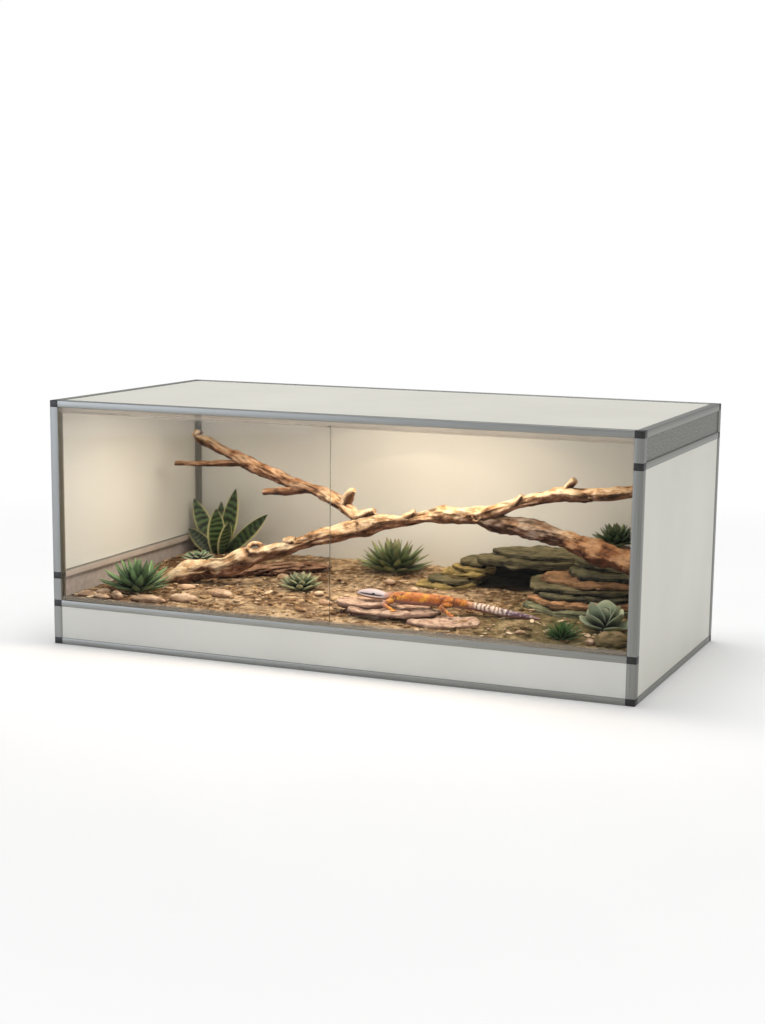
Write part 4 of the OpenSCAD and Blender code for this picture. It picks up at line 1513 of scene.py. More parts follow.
@dataclass
class Driftwood:
    """A weathered trunk with its limbs, a flat red branch and a flat offcut."""

    finishes: Finishes
    # Every route: place, half width and half height.
    trunk: Rows = (
        (-398, -66, 84, 13, 8), (-350, -58, 98, 25, 19), (-290, -47, 114, 24, 21),
        (-232, -32, 135, 19, 18), (-172, -15, 156, 15, 14), (-112, 10, 174, 14, 13),
        (-66, 30, 189, 16, 15), (15, 45, 206, 13, 12), (73, 50, 215, 13, 12),
        (144, 50, 219, 15, 13), (193, 45, 237, 13, 11), (234, 40, 253, 12, 11),
        (294, 30, 266, 13, 11), (355, 15, 270, 12, 10), (421, 0, 284, 11, 10), (463, -10, 291, 9, 8))
    lower: Rows = (
        (120, 50, 218, 9, 9), (151, 50, 216, 14, 13), (227, 40, 205, 15, 13), (292, 20, 197, 16, 14),
        (352, 0, 184, 18, 15), (430, -25, 170, 19, 16), (470, -38, 150, 14, 12),
        (478, -42, 128, 10, 9))
    upper: Rows = (
        (-50, 32, 185, 10, 10), (-71, 34, 201, 17, 13), (-102, 40, 223, 14, 12),
        (-142, 50, 237, 13, 12), (-219, 70, 253, 12, 10), (-300, 90, 276, 12, 10),
        (-348, 100, 291, 11, 10), (-411, 115, 311, 10, 9), (-428, 120, 318, 8, 9))
    twigs: tuple[Rows, ...] = (
        ((-318, 94, 276, 6, 6), (-345, 94, 275, 6.5, 6), (-390, 90, 272, 5.5, 5),
         (-440, 82, 271, 5, 4.5), (-452, 80, 270, 4, 3.5)),
        ((-165, 58, 241, 6, 6), (-181, 60, 242, 7.5, 7), (-225, 57, 237, 7, 6), (-261, 55, 233, 6, 5.5)),
        ((282, 32, 265, 7, 7), (294, 30, 271, 7.5, 7), (317, 25, 294, 6, 5.5)))
    stubs: tuple[Rows, ...] = (
        ((-100, 42, 212, 13, 12), (-94, 40, 230, 12, 11), (-86, 38, 244, 9, 8), (-80, 37, 251, 6, 5)),
        ((-74, 34, 204, 12, 11), (-56, 31, 211, 10, 9), (-36, 28, 219, 7, 6)),
        ((-182, -20, 158, 10, 9), (-172, -23, 163, 8, 8), (-162, -25, 168, 6, 5)),
        ((-429, 120, 314, 8, 8), (-426, 121, 322, 8, 8), (-423, 122, 329, 6, 6)),
        ((15, 43, 208, 9, 9), (24, 41, 215, 7, 7), (32, 40, 221, 5, 5)),
        ((345, 12, 268, 7, 7), (358, 10, 272, 5, 5), (369, 8, 276, 4, 4)),
        ((-244, 76, 256, 8, 8), (-254, 79, 264, 6, 6), (-264, 83, 270, 5, 4)),
        ((212, 38, 244, 9, 9), (219, 36, 254, 7, 7), (226, 34, 262, 5, 4)),
        ((-296, -46, 112, 14, 12), (-312, -49, 111, 13, 11), (-330, -52, 109, 9, 8)))
    # How far the grain of the trunk, the lower and the upper limb winds, in degrees.
    twists: tuple[float, float, float] = (150, -110, 130)
    # Middle of each ring, its turn in radians, its radius and its section's radius.
    knots: tuple[tuple[Triple, Triple, float, float], ...] = (
        ((-70, 17, 190), (1.25, 0.1, -0.35), 9.5, 3.4), ((-228, -43, 151), (0.5, 0.3, 0), 11.5, 4.2),
        ((144, 36, 219), (1.3, 0.2, 0), 7, 2.6), ((352, -14, 184), (1.2, 0, 0.5), 7, 2.6))
    red: Rows = (
        (-330, -2, 88, 8, 4), (-300, 22, 92, 18, 8), (-240, 66, 96, 21, 9), (-190, 104, 97, 16, 8),
        (-160, 126, 96, 7, 4))
    offcut: Rows = (
        (292, 192, 155, 8, 4), (322, 180, 157, 27, 7), (362, 168, 157, 29, 7.5), (405, 158, 155, 16, 5))

    def knot(self, at: Triple, turn: Triple, radius: float, thick: float, seed: int) -> Object:
        """Make the swollen ring that is left where a limb broke off.

        Args:
            at: Its middle in millimetres.
            turn: Its rotation in radians.
            radius: Radius of the ring.
            thick: Radius of its section.
            seed: Chooses its lumps.

        Returns:
            The ring.
        """
        item = primitive(bpy.ops.mesh.primitive_torus_add, major_segments=28, minor_segments=12,
                         major_radius=radius * MM, minor_radius=thick * MM)
        chart(item, lambda place: (place.x, place.y, place.z))
        roughen(item, 4 * MM, 1.6 * MM, seed)
        item.location = mm(*at)
        item.rotation_euler = turn
        shade(item, 60)
        return settle(item)

    def build(self) -> None:
        """Make the trunk with its limbs, then the two flat pieces."""
        mains = zip((self.trunk, self.lower, self.upper), self.twists)
        limbs = [stick(points, steps=7, sides=40, step=2.6, lumps=(30, 17), grooves=(6, 4.4),
                       seed=20 + index, twist=twist) for index, (points, twist) in enumerate(mains)]
        limbs += [stick(points, steps=5, sides=16, step=2.2, lumps=(16, 11), grooves=(4.5, 3.5),
                        seed=40 + index) for index, points in enumerate(self.twigs + self.stubs)]
        limbs += [self.knot(*facts, 70 + index) for index, facts in enumerate(self.knots)]
        deliver(merged("driftwood_limbs", limbs), CASE, "driftwood", self.finishes["wood"],
                "driftwood")
        for name, node, points, seed in (("red_branch", "bark_piece", self.red, 80),
                                         ("red_offcut", "wood_slab", self.offcut, 84)):
            piece = merged(name, [stick(points, steps=7, sides=32, step=2.2, lumps=(18, 11),
                                        grooves=(4, 5), seed=seed)])
            deliver(piece, CASE, "red_bark", self.finishes["bark"], node)


def prism(points: Sequence[tuple[float, float]], thick: float) -> Object:
    """Cut a level slab to an outline.

    Args:
        points: The outline in millimetres.
        thick: Its thickness in millimetres.

    Returns:
        The slab, standing on the origin's plane.
    """
    item = primitive(bpy.ops.mesh.primitive_circle_add, vertices=len(points), radius=1,
                     fill_type="NGON")
    places = [vertex.co.copy() for vertex in item.data.vertices]
    with editing(item):
        for index, (x, y) in enumerate(points):
            pick(item, Part.VERT, lambda vert: vert.index == index)
            bpy.ops.transform.translate(value=mm(x, y, 0) - places[index])
        bpy.ops.mesh.select_all(action="SELECT")
        bpy.ops.mesh.extrude_region_move(TRANSFORM_OT_translate={"value": (0, 0, thick * MM)})
        bpy.ops.mesh.select_all(action="SELECT")
        bpy.ops.mesh.normals_make_consistent(inside=False)
    return item


def remesh(item: Object, voxel: float) -> None:
    """Cover a closed piece with an even mesh.

    Args:
        item: The mesh object.
        voxel: Size of its faces in millimetres.
    """
    activate(item)
    item.data.remesh_voxel_size = voxel * MM
    item.data.remesh_voxel_adaptivity = 0
    bpy.ops.object.voxel_remesh()


@dataclass
class RockWork:
    """The slate cave, the flat basking stones and the loose stones."""

    terrain: Terrain
    finishes: Finishes
    voxel: float = 2.4
    corners: int = 14
    # Size and height of the dents of a slab's faces, and the size of the ridges on its edge.
    dents: tuple[float, float] = (30, 13)
    ridge: float = 3.6
    # How deep each slab sinks into what it lies on.
    sink: float = 0.7
    # Every slab: place, underside, half length, half width, thickness, turn in degrees and seed.
    left: Rows = (
        (68, 92, 82, 50, 38, 11, 12, 1), (80, 110, 93, 46, 42, 8, 24, 2),
        (92, 130, 101, 42, 42, 8, 20, 3), (100, 148, 109, 38, 42, 9, 35, 4),
        (108, 160, 118, 34, 38, 9, 10, 5))
    right: Rows = (
        (342, 22, 80, 98, 84, 12, 0, 6), (352, 40, 92, 100, 86, 9, 14, 7),
        (344, 58, 101, 98, 84, 8, 20, 8), (336, 76, 109, 108, 80, 9, 24, 9),
        (348, 92, 118, 102, 82, 9, 22, 10), (372, 112, 127, 86, 74, 8, 10, 11),
        (370, 140, 135, 78, 60, 14, 0, 12))
    roof: Rows = ((220, 150, 127, 102, 62, 12, 8, 13), (230, 162, 138.5, 92, 52, 10, 4, 14))
    flats: Rows = (
        (48, -146, 78, 62, 36, 7, 6, 15), (72, -148, 85, 80, 44, 7, 10, 16),
        (14, -144, 91, 44, 29, 7.5, -6, 18), (168, -168, 77, 60, 38, 7, 14, 17))
    # The slab that closes the cave: its outline, place and thickness.
    rear: tuple[tuple[float, float], ...] = (
        (-74, -8), (-70, 26), (-48, 40), (-12, 40.5), (30, 40), (62, 38), (72, 12), (66, -8))
    rear_at: Triple = (188, 206, 86)
    rear_thick: float = 10
    # Every stone: place, half length, half width, half height and turn in degrees.
    stones: Rows = (
        (-402, -211, 17, 8, 9, -35), (-340, -216, 33, 9, 8, 3), (-288, -188, 25, 12, 9, 8),
        (-246, -134, 24, 12, 8, -14), (-330, -100, 16, 10, 6, 30), (-440, -190, 14, 9, 7, 60),
        (-456, -214, 18, 8, 6, 10), (-424, -222, 16, 7, 5, -8), (451, -207, 27, 17, 16, 10),
        (418, -208, 9, 7, 6, 0), (340, -168, 10, 7, 5, 40), (300, -190, 8, 6, 4, 10),
        (372, -160, 12, 7, 5, -15), (-60, -120, 11, 8, 6, 25), (-100, -60, 9, 7, 5, 0),
        (40, 20, 10, 8, 6, 15), (-20, 60, 12, 8, 6, -30), (-210, 30, 12, 8, 7, 10))
    # Which of them is mossy.
    mossy_stone: int = 8
    # How far a stone's middle lies above the ground, as a share of its half height.
    bedding: float = 0.45

    def slab(self, x: float, y: float, z: float, rx: float, ry: float, thick: float, turn: float,
             seed: int, layers: float = 2.4) -> Object:
        """Split one slab and lay it.

        Args:
            x: Place from left to right.
            y: Place from front to back.
            z: Its underside.
            rx: Half its length.
            ry: Half its width.
            thick: Its thickness.
            turn: How far it is turned, in degrees.
            seed: Chooses its outline.
            layers: Height of the ridges on its edge.

        Returns:
            The slab.
        """
        outline = []
        for k in range(self.corners):
            angle = 2 * math.pi * k / self.corners
            reach = (1 + 0.07 * math.sin(2 * angle + radians(61 * seed))
                     + 0.06 * math.sin(5 * angle + radians(97 * seed)))
            outline.append((rx * reach * math.cos(angle), ry * reach * math.sin(angle)))
        item = prism(outline, thick + self.sink)
        soften(item, 2.4 * MM, 2)
        remesh(item, self.voxel)
        roughen(item, self.dents[0] * MM, self.dents[1] * MM, 100 + seed, (1, 1, 6))
        roughen(item, self.ridge * MM, layers * MM, 130 + seed, (9, 9, 1), Noise.HARD, 0.4)
        item.location = mm(x, y, z - self.sink)
        item.rotation_euler.z = radians(turn)
        shade(item, 50)
        return settle(item)

    def rear_slab(self) -> Object:
        """Stand the slab that closes the back of the cave.

        Returns:
            The slab.
        """
        item = prism(self.rear, self.rear_thick)
        soften(item, 1.4 * MM, 2)
        remesh(item, self.voxel)
        roughen(item, 20 * MM, 3 * MM, 160)
        roughen(item, 3 * MM, 1.6 * MM, 161, (8, 1, 8), Noise.HARD, 0.4)
        item.rotation_euler = (radians(90), 0, radians(-6))
        item.location = mm(*self.rear_at)
        return settle(item)

    def stone(self, x: float, y: float, a: float, b: float, c: float, turn: float,
              seed: int) -> Object:
        """Half bury one rounded stone.

        Args:
            x: Place from left to right.
            y: Place from front to back.
            a: Half its length.
            b: Half its width.
            c: Half its height.
            turn: How far it is turned, in degrees.
            seed: Chooses its lumps.

        Returns:
            The stone.
        """
        item = primitive(bpy.ops.mesh.primitive_ico_sphere_add, mm(a, b, c), subdivisions=4, radius=1)
        roughen(item, 9 * MM, 0.45 * c * MM, seed)
        roughen(item, 2.5 * MM, 0.8 * MM, seed + 1)
        item.location = mm(x, y, self.terrain.height(x, y) + self.bedding * c)
        item.rotation_euler.z = radians(turn)
        shade(item, 60)
        return settle(item)

    def build(self) -> None:
        """Lay every slab and stone."""
        for name, node, slabs, kinds in (
                ("left_slab_stack", "cave_left_slabs", self.left,
                 ("ochre", "roof", "ochre", "ochre", "roof")),
                ("right_slab_stack", "cave_right_stack", self.right,
                 ("sage", "rust", "stack", "roof", "rust", "stack", "roof")),
                ("roof_slab_pair", "cave_roof_slabs", self.roof, ("roof", "roof"))):
            pile = [self.slab(*facts) for facts in slabs]
            for index, item in enumerate(pile):
                kind = kinds[index % len(kinds)]
                item.data.materials.append(self.finishes[f"slate_{kind}"])
            deliver(merged(name, pile), CASE, "slate", None, node)
        # The rear slab takes the nearly black slate: painted shade.
        deliver(merged("rear_cave_slab", [self.rear_slab()]), CASE, "slate",
                self.finishes["slate_deep"], "cave_rear_slab")
        flats = merged("basking_stones", [self.slab(*facts, layers=1.2) for facts in self.flats])
        deliver(flats, CASE, "pale_stone", self.finishes["flat_stone"], "flat_stones")
        loose = [self.stone(*facts, 200 + 3 * index) for index, facts in enumerate(self.stones)]
        for index, item in enumerate(loose):
            item.data.materials.append(self.finishes["mossy" if index == self.mossy_stone else "pebble"])
        deliver(merged("loose_stones_set", loose), CASE, "pale_stone", None, "loose_stones")


# ---- plants and animal


@dataclass(frozen=True)
class LeafShape:
    """How a leaf swells and thins from its foot to its tip, at equal steps.

    Widths and depths are shares of its greatest width and thickness. The channel is how deep its
    middle sinks, as a share of its thickness, and the curl how late it rises towards the tip.
    """

    widths: tuple[float, ...] = (0.62, 0.7, 0.86, 0.98, 1.0, 0.92, 0.72, 0.42, 0.05)
    depths: tuple[float, ...] = (1.5, 1.3, 1.15, 1.0, 0.9, 0.75, 0.55, 0.32, 0.08)
    channel: float = 0.35
    curl: float = 1.7


AGAVE = LeafShape()
SPOON = LeafShape((0.5, 0.55, 0.68, 0.85, 1.0, 1.04, 0.9, 0.55, 0.08),
                  (1.2, 1.15, 1.1, 1.05, 1.0, 0.95, 0.8, 0.5, 0.12), channel=0.2, curl=1.5)
PADDLE = LeafShape((0.42, 0.56, 0.78, 0.95, 1.04, 1.06, 0.98, 0.72, 0.2),
                   (1.3, 1.2, 1.1, 1.0, 0.9, 0.8, 0.65, 0.5, 0.2), channel=0.15, curl=1.8)
SWORD = LeafShape((0.5, 0.72, 0.9, 1.0, 1.02, 0.95, 0.8, 0.5, 0.04),
                  (1.6, 1.3, 1.1, 1.0, 0.9, 0.8, 0.6, 0.4, 0.1), channel=0.6, curl=1.3)
GRASS = LeafShape((1, 1, 1, 0.95, 0.85, 0.7, 0.5, 0.3, 0.05),
                  (1, 1, 1, 0.9, 0.9, 0.8, 0.6, 0.4, 0.1), channel=0.4, curl=1.6)


def leaf(shape: LeafShape, length: float, width: float, thick: float, lift: float) -> Object:
    """Shape one leaf that starts at the origin and runs along +X.

    Args:
        shape: Its outline.
        length: Its length in millimetres.
        width: Its greatest width.
        thick: Its greatest thickness.
        lift: How far its tip rises.

    Returns:
        The leaf.
    """
    count = len(shape.widths)
    item = block(mm(0, -width / 2, -thick * 0.6), mm(length, width / 2, thick * 0.4))
    with editing(item):
        pick(item, Part.EDGE, runs_along(Axis.X))
        bpy.ops.mesh.subdivide(number_cuts=count - 2)
        pick(item, Part.EDGE, runs_along(Axis.Y))
        bpy.ops.mesh.subdivide(number_cuts=3)
    chart(item, lambda place: (place.x / MM / length, place.y / MM / width * 2, 0.5))
    near = 0.05 * MM
    with editing(item):
        for index in range(count):
            share = index / (count - 1)
            there = length * share * MM
            pick(item, Part.VERT, lambda vert: abs(vert.co.x - there) < near)
            bpy.ops.transform.resize(value=(1, shape.widths[index], shape.depths[index]),
                                     center_override=(there, 0, 0))
            pick(item, Part.VERT, lambda vert: abs(vert.co.x - there) < near
                 and abs(vert.co.y) < 0.02 * width * MM)
            bpy.ops.transform.translate(
                value=(0, 0, -shape.channel * thick * shape.depths[index] * MM))
            pick(item, Part.VERT, lambda vert: abs(vert.co.x - there) < near)
            bpy.ops.transform.translate(value=(0, 0, lift * share ** shape.curl * MM))
    apply_modifier(item, "SUBSURF", levels=1, render_levels=1)
    shade(item, 60)
    return item


def tinted(item: Object, tone: float) -> Object:
    """Store one leaf's own tone in its pattern attribute.

    Args:
        item: The leaf.
        tone: The tone, from 0 for dark to 1 for light.

    Returns:
        The leaf.
    """
    layer = item.data.attributes["lay"]
    for value in layer.data:
        value.vector.z = tone
    return item


@dataclass(frozen=True)
class Rosette:
    """A plant whose leaves leave one crown in whorls.

    The lift is how far a leaf's tip rises, and the crown is the radius of the stem's head. Leaves
    differ a little: in tilt and roll, both in degrees, and down to the smallest share of full size.
    """

    node: str
    slot: str
    finish: str
    shape: LeafShape
    at: Triple
    # Every whorl: leaves, length, width, tilt, and turn of its first leaf in degrees.
    whorls: Rows
    thick: float
    lift: float
    crown: float
    seed: int
    tilt: float = 3
    roll: float = 14
    smallest: float = 0.9

    def build(self, finishes: Finishes) -> None:
        """Grow the plant: one leaf is shaped for each whorl and copied around the crown.

        Args:
            finishes: The palette's materials.
        """
        draw = random.Random(self.seed)
        stem = Matrix.Translation(mm(*self.at))
        crown = primitive(bpy.ops.mesh.primitive_uv_sphere_add, segments=20, ring_count=12,
                          radius=0.92 * self.crown * MM, location=mm(*self.at))
        chart(crown, lambda place: (0.06, 0.0, 0.35))
        leaves = [crown]
        for count, length, width, tilt, first in self.whorls:
            pattern = leaf(self.shape, length, width, self.thick, self.lift)
            for k in range(int(count)):
                turn = radians(first + 360 * k / count)
                place = (stem @ Matrix.Rotation(turn, 4, "Z")
                         @ Matrix.Rotation(-radians(tilt + draw.uniform(-self.tilt, self.tilt)), 4, "Y")
                         @ Matrix.Translation(mm(0.3 * self.crown, 0, 0))
                         @ Matrix.Rotation(radians(draw.uniform(-self.roll, self.roll)), 4, "X")
                         @ Matrix.Scale(draw.uniform(self.smallest, 1.0), 4))
                leaves.append(tinted(twin(pattern, place), draw.random()))
            discard(pattern)
        piece = merged(f"{self.node}_leaves", leaves)
        deliver(piece, CASE, self.slot, finishes[self.finish], self.node)


@dataclass
class Planting:
    """Every plant of the landscape."""

    terrain: Terrain
    finishes: Finishes
    # The snake plant's foot and the radius of its root.
    foot: tuple[float, float] = (-427, 196)
    root: float = 14
    # Every blade: place, length, width, lean, the way it leans, and its own turn, in degrees.
    blades: Rows = (
        (-417, 198, 126, 32, 12, 12, 84), (-433, 201, 110, 32, 27, 173, -58),
        (-425, 187, 89, 35, 9, 300, 12), (-409, 196, 117, 30, 47, 2, 72),
        (-434, 193, 66, 27, 48, 187, -66), (-415, 188, 75, 30, 27, 322, 10),
        (-427, 207, 96, 26, 16, 112, 0))

    def rosettes(self) -> tuple[Rosette, ...]:
        """List the plants that grow in whorls.

        Returns:
            The rosettes.
        """

        def on(x: float, y: float, up: float) -> Triple:
            """Give a place on the ground, raised by up."""
            return x, y, self.terrain.height(x, y) + up

        return (
            Rosette("front_agave", "agave_leaf", "agave", AGAVE, on(-397, -150, 2),
                    ((11, 68, 15, 10, 0), (10, 66, 15, 27, 18), (9, 63, 14, 44, 5),
                     (8, 57, 13, 60, 25), (5, 50, 12, 77, 10)),
                    thick=4, lift=7, crown=11, seed=3),
            Rosette("rear_agave", "agave_leaf", "agave_dark", AGAVE, on(-52, 156, 2),
                    ((12, 73, 18, 8, 10), (12, 71, 18, 22, 30), (11, 67, 17, 37, 3),
                     (9, 61, 16, 53, 20), (6, 54, 14, 72, 40)),
                    thick=4, lift=6, crown=11, seed=4),
            Rosette("upper_agave", "agave_leaf", "aloe", AGAVE, (349, 171, 168),
                    ((11, 48, 14, 9, 5), (11, 46, 14, 24, 25), (10, 43, 13, 40, 8),
                     (8, 38, 13, 57, 20), (5, 33, 11, 76, 0)),
                    thick=3.2, lift=5, crown=8.5, seed=5),
            Rosette("echeveria", "rosette_leaf", "echeveria", SPOON, on(-148, -30, 2),
                    ((10, 38, 13, 8, 3), (9, 35, 13, 24, 21), (8, 30, 12, 42, 9),
                     (6, 24, 10, 60, 30), (4, 17, 8, 78, 5)),
                    thick=4.5, lift=7, crown=11, seed=6),
            Rosette("variegated_rosette", "rosette_leaf", "variegated", SPOON, on(-424, 118, 1),
                    ((8, 32, 14, 4, 0), (7, 28, 13, 15, 22), (5, 21, 11, 32, 8),
                     (3, 14, 8, 56, 30)), thick=3, lift=4, crown=9, seed=7),
            Rosette("broad_leaf_succulent", "rosette_leaf", "broad", PADDLE, on(414, -116, 3),
                    ((5, 47, 28, 8, 22), (4, 44, 30, 28, 60), (3, 46, 40, 52, 105),
                     (3, 32, 24, 72, 30)), thick=4.5, lift=8, crown=12, seed=8),
            Rosette("grass_tuft", "blade_leaf", "grass", GRASS, on(368, -190, 0),
                    ((15, 37, 4, 8, 0), (15, 38, 4, 20, 12), (13, 37, 4, 34, 5),
                     (10, 34, 3.6, 50, 29), (6, 28, 3.2, 70, 10)),
                    thick=1.4, lift=6, crown=4.5, seed=9),
        )

    def snake_plant(self) -> Object:
        """Stand the upright banded blades in their root.

        Returns:
            The plant.
        """
        draw = random.Random(12)
        foot = mm(*self.foot, self.terrain.height(*self.foot) - 2)
        root = primitive(bpy.ops.mesh.primitive_uv_sphere_add, segments=24, ring_count=14,
                         radius=self.root * MM, location=foot)
        chart(root, lambda place: (0.02, 0.0, 0.2))
        blades = [root]
        for x, y, length, width, lean, towards, turn in self.blades:
            blade = leaf(SWORD, length, width, 4, 0)
            blade.matrix_world = (
                Matrix.Translation(mm(x, y, self.terrain.height(x, y) - 2))
                @ Matrix.Rotation(radians(towards), 4, "Z")
                @ Matrix.Rotation(radians(lean - 90), 4, "Y")
                @ Matrix.Rotation(radians(turn), 4, "X"))
            blades.append(tinted(blade, draw.random()))
        return merged("snake_plant_blades", blades)

    def build(self) -> None:
        """Grow every plant."""
        for plant in self.rosettes():
            plant.build(self.finishes)
        deliver(self.snake_plant(), CASE, "blade_leaf", self.finishes["sansevieria"], "snake_plant")


@dataclass
class Gecko:
    """The spotted gecko that rests on the flat stones."""

    finishes: Finishes
    # From snout to tail tip: place, half width and half height.
    spine: Rows = (
        (1, -129, 108, 2.6, 1.7), (7, -130, 108.6, 5.6, 3.4), (18, -132, 109.4, 8.2, 5),
        (32, -135, 109.8, 9.6, 6), (44, -138, 109.4, 8.8, 6), (54, -140, 108.6, 7.2, 6.2),
        (68, -142, 108.6, 9.8, 8.2), (86, -140, 108.6, 11.6, 9.6), (105, -137, 108, 12.4, 10.2),
        (130, -130, 107, 12, 10.4), (152, -120, 104.6, 10.8, 9.6), (172, -111, 101.6, 9.2, 8.4),
        (190, -104, 98, 7.4, 7.2), (212, -98, 94, 8.6, 8), (240, -97, 90, 8, 7.6),
        (268, -94, 87.6, 5.6, 5.4), (288, -91, 85, 3.4, 3.2), (301, -89, 83, 1.2, 1.2))
    # Every leg: shoulder, elbow and foot.
    legs: tuple[tuple[Triple, Triple, Triple], ...] = (
        ((70, -149, 104), (62, -166, 101), (81, -176, 95)),
        ((68, -134, 104), (58, -118, 99), (72, -108, 94)),
        ((160, -124, 101), (152, -143, 99), (170, -151, 90)),
        ((158, -112, 101), (170, -96, 98), (184, -92, 89)))
    toes: int = 5
    toe: float = 7.5
    # Turn of the first toe from the leg, and from one toe to the next, in degrees.
    first_toe: float = -62
    toe_step: float = 31
    # The tail's rings swell and thin between these places, by this share.
    ringed: tuple[float, float] = (200, 290)
    swell: float = 0.05
    # Middle of the head between the eyes, which lie in lids that bulge less far out.
    head: tuple[float, float] = (36, -135.6)
    skin: float = 0.95

    def leg(self, shoulder: Triple, elbow: Triple, foot: Triple) -> list[Object]:
        """Make one leg with its five spread toes.

        Args:
            shoulder: Where it leaves the body.
            elbow: Its bend.
            foot: Where it stands.

        Returns:
            The leg and its toes.
        """
        parts = [stick(((*shoulder, 5.2, 5.2), (*elbow, 4, 3.8), (*foot, 2.9, 2.5)), 6, 14, 2)]
        ahead = (Vector(foot) - Vector(elbow)).normalized()
        heading = math.atan2(ahead.y, ahead.x)
        for index in range(self.toes):
            angle = heading + radians(self.first_toe + self.toe_step * index)
            tip = (foot[0] + self.toe * math.cos(angle), foot[1] + self.toe * math.sin(angle),
                   foot[2] - 1)
            parts.append(stick(((*foot, 1.7, 1.5), (*tip, 1.0, 0.9)), 3, 8, 2))
        return parts

    def pair(self, out: float, height: float, half: Triple) -> list[Object]:
        """Make an oval on each side of the head.

        Args:
            out: How far its middle lies from the head's.
            height: Height of its middle.
            half: Half its sizes.

        Returns:
            Both ovals.
        """
        x, y = self.head
        return [primitive(bpy.ops.mesh.primitive_uv_sphere_add, mm(*half), segments=20,
                          ring_count=12, radius=1, location=mm(x, y + side * out, height))
                for side in (-1, 1)]

    def build(self) -> None:
        """Make the animal in one skin, then its eyes."""
        rings = []
        for x, y, z, wide, high in catmull(self.spine, 6):
            ringed = self.ringed[0] < x < self.ringed[1]
            swell = 1 + (self.swell * math.sin(x * 0.8) if ringed else 0)
            rings.append((x, y, z, wide * swell, high * swell))
        parts = [stick(rings, 1, 26, 2)]
        for facts in self.legs:
            parts += self.leg(*facts)
        skin = merged("gecko_body", parts + self.pair(6.6, 111.8, (5.6, 3, 3.2)))
        remesh(skin, self.skin)
        apply_modifier(skin, "SMOOTH", factor=0.5, iterations=3)
        roughen(skin, 1.6 * MM, 0.35 * MM, 300)
        shade(skin, 80)
        deliver(skin, CASE, "gecko_skin", self.finishes["gecko"], "gecko")
        eyes = merged("gecko_eyes", self.pair(8.6, 111.2, (3.8, 1.8, 2.3)))
        shade(eyes, 80)
        deliver(eyes, CASE, "gecko_skin", self.finishes["eye"])


# ---- stage


@dataclass(frozen=True)
class StageFloor(Finish):
    """Matt white sweep: evenly pale with a very fine tooth, and lost in the white room far away.

    It starts to fade at near and is gone at far, both in metres.
    """

    glow: float = 0.12
    near: float = 0.66
    far: float = 1.9

    def paint(self, node: Brush, place: Socket) -> Inputs:
        """Keep the sweep pale near the case and let it glow white further out.

        Args:
            node: Adds a node.
            place: Coordinates in metres.

        Returns:
            The shader's inputs.
        """
        away = node("VectorMath", {0: place}, "Value", operation="LENGTH")
        lost = node("MapRange", {0: away, 1: self.near, 2: self.far})
        drift, tooth = (clouds(node, place, [size] * 3, 2.0) for size in (400, 1.5))
        pale = node("ValToRGB", {0: drift}, stops=((0.3, self.colours[0]), (0.7, self.colours[1])))
        return {"Base Color": node("Mix", {0: lost, 6: pale, 7: "#000000"}, 2, **COLOURS),
                "Specular IOR Level": 0.0, "Emission Color": "#ffffff",
                "Emission Strength": node("MapRange", {0: lost, 3: self.glow}),
                "Normal": node("Bump", {"Height": tooth, "Distance": 0.02 * MM})}


class Light(Enum):
    """What a lamp shines from: a soft sheet or a round bulb with a cone."""

    AREA = "AREA"
    SPOT = "SPOT"


@dataclass(frozen=True)
class Lamp:
    """One light of the stage, with its places in metres.

    The size holds the sides of an area, or the angle of a spot's cone in radians and its softness.
    """

    name: str
    light: Light
    watts: float
    at: Triple
    towards: Triple
    size: tuple[float, float]
    colour: str = "#ffffff"
    bulb: float = 0.012
    spread: float = 180
    diffuse: bool = True

    def hang(self) -> None:
        """Hang the lamp where it isn't seen itself."""
        data = bpy.data.lights.new(self.name, self.light.value)
        data.energy = self.watts
        data.color = linear(self.colour)[:3]
        if self.light is Light.AREA:
            data.shape = "RECTANGLE"
            data.size, data.size_y = self.size
            data.spread = radians(self.spread)
        else:
            data.spot_size, data.spot_blend = self.size
            data.shadow_soft_size = self.bulb
        item = bpy.data.objects.new(self.name, data)
        bpy.context.scene.collection.objects.link(item)
        item.location = self.at
        way = Vector(self.towards) - Vector(self.at)
        item.rotation_euler = way.to_track_quat("-Z", "Y").to_euler()
        item.visible_camera = False
        item.visible_diffuse = self.diffuse


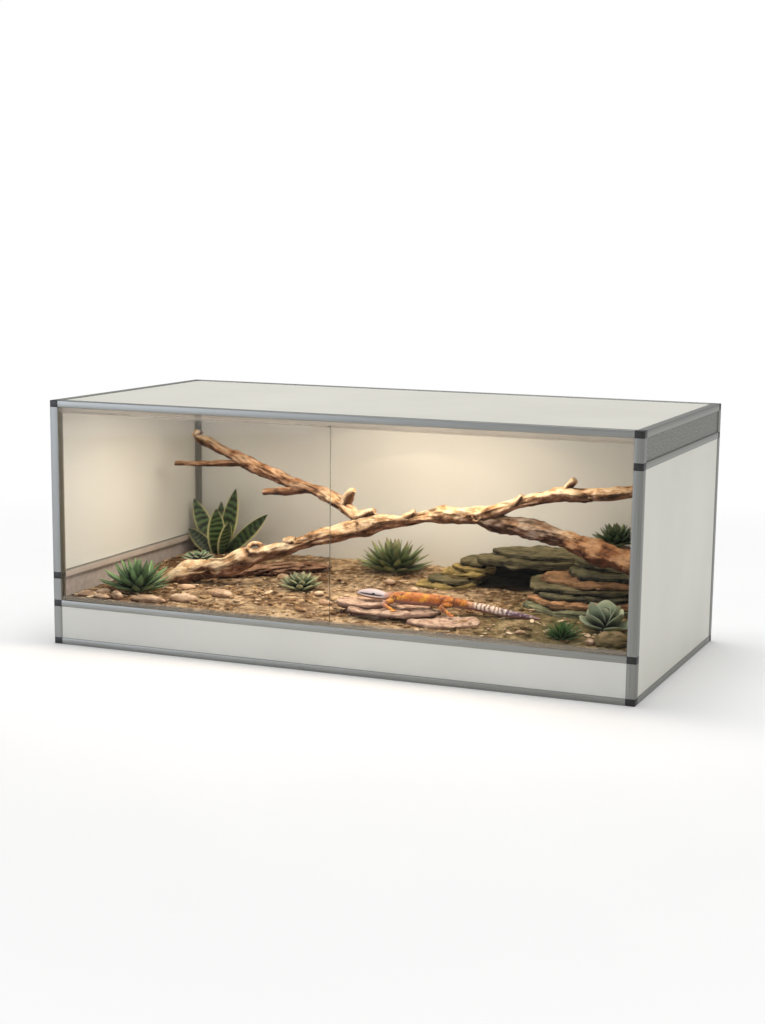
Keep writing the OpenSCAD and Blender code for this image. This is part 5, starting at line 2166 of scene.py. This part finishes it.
@dataclass
class Studio:
    """The sweep, the soft lights, the warm light of the lamp bar and the camera."""

    sweep: float = 14
    ambient: float = 0.53
    # Places of the spots along the bar, and of those that reach the left wall.
    spots: Triple = (-0.12, 0.0, 0.13)
    side_spots: tuple[float, float] = (-0.13, 0.06)
    # Every crisp cone under the bar: place, watts and angle in degrees.
    rings: Rows = ((-0.02, 0.085, 0.26, 151), (-0.02, 0.085, 0.2, 122),
                   (-0.319, -0.04, 0.09, 139), (-0.319, -0.04, 0.07, 90))
    lens: float = 64.85
    shift: float = 0.0566
    # The camera's place in metres, and its turn in radians.
    eye: Triple = (1.1703, -2.83, 0.6838)
    aim: Triple = (1.39, -0.011, 0.397)

    def world(self) -> None:
        """Show white to the camera and light the room evenly."""
        world = bpy.data.worlds.new("white_room")
        world.use_nodes = True
        tree = world.node_tree
        tree.nodes.clear()
        rays = add(tree, "LightPath", {}, "Is Camera Ray")
        seen = add(tree, "Math", {0: rays, 1: rays.node.outputs["Is Transmission Ray"]},
                   operation="MAXIMUM")
        level = add(tree, "MapRange", {0: seen, 3: self.ambient, 4: 1.0})
        glow = add(tree, "Background", {"Color": "#ffffff", "Strength": level})
        feed(tree.nodes.new("ShaderNodeOutputWorld"), {"Surface": glow})
        bpy.context.scene.world = world

    def lamps(self) -> list[Lamp]:
        """List the lights: three around the case, and those that stand for the bar's light.

        Returns:
            The lights, each with its watts, its place, what it points at and its size.
        """
        area, spot = Light.AREA, Light.SPOT
        lamps = [
            Lamp("key", area, 37, (-0.25, 0.3, 2.8), (0.05, 0, 0.1), (1.7, 1.5)),
            Lamp("fill", area, 7, (3.0, -1.6, 1.6), (0, 0, 0.2), (2.0, 1.6)),
            Lamp("cool_card", area, 45, (-2.3, -2.8, 0.5), (-0.3, 0, 0.2), (2.0, 1.4), "#e3eaff",
                 diffuse=False),
            Lamp("inner_glow", area, 1.8, (-0.03, -0.1, 0.3985), (-0.03, -0.1, 0), (0.72, 0.24),
                 "#fff0df"),
            Lamp("lamp_glow", area, 0.4, (0.09, 0.04, 0.3815), (0.09, 0.04, 0), (0.3, 0.045),
                 "#ffeed6"),
            Lamp("left_wash", area, 0.12, (-0.17, -0.02, 0.37), (-0.485, -0.02, 0.07), (0.34, 0.04),
                 "#ffeeda", spread=80)]
        lamps += [Lamp(f"lamp_spot_{index}", spot, 0.15, (x, 0.09, 0.378), (x, 0.244, 0.21),
                       (1.5, 0.45), "#ffe6c4") for index, x in enumerate(self.spots)]
        lamps += [Lamp(f"side_spot_{index}", spot, 0.03, (-0.36, y, 0.378), (-0.485, y, 0.2),
                       (1.2, 0.4), "#ffe9cc") for index, y in enumerate(self.side_spots)]
        lamps += [Lamp(f"lamp_ring_{index}", spot, watts, (x, y, 0.385), (x, y, 0),
                       (radians(angle), 0.02), "#ffe6c4", bulb=0.001)
                  for index, (x, y, watts, angle) in enumerate(self.rings)]
        return lamps

    def build(self) -> None:
        """Set the stage and the camera."""
        bpy.context.scene.view_settings.view_transform = "Standard"
        self.world()
        sweep = primitive(bpy.ops.mesh.primitive_plane_add, size=self.sweep)
        sweep.name = "sweep"
        sweep.data.materials.append(
            StageFloor("matt_white_sweep", ("#f4f4f4", "#f7f7f7"), 0.9).build())
        for lamp in self.lamps():
            lamp.hang()
        data = bpy.data.cameras.new("camera")
        data.lens = self.lens
        data.shift_y = self.shift
        item = bpy.data.objects.new("camera", data)
        bpy.context.scene.collection.objects.link(item)
        item.location = self.eye
        item.rotation_euler = self.aim
        bpy.context.scene.camera = item


def main() -> None:
    """Build the terrarium, from its frame to its stage."""
    logging.basicConfig(level=logging.INFO, format="%(name)s: %(message)s")
    finishes = Palette().make()
    size = CaseSize()
    terrain = Terrain()
    TubeFrame(size, finishes).build()
    Connectors(size, finishes["nylon"]).build()
    Vents(size, finishes).build()
    Doors(finishes["glass"], finishes["glass_edge"]).build()
    Fittings(finishes).build()
    Ground(terrain, finishes).build()
    Driftwood(finishes).build()
    RockWork(terrain, finishes).build()
    Planting(terrain, finishes).build()
    Gecko(finishes).build()
    Studio().build()
    bpy.context.view_layer.update()


if __name__ == "__main__":
    main()
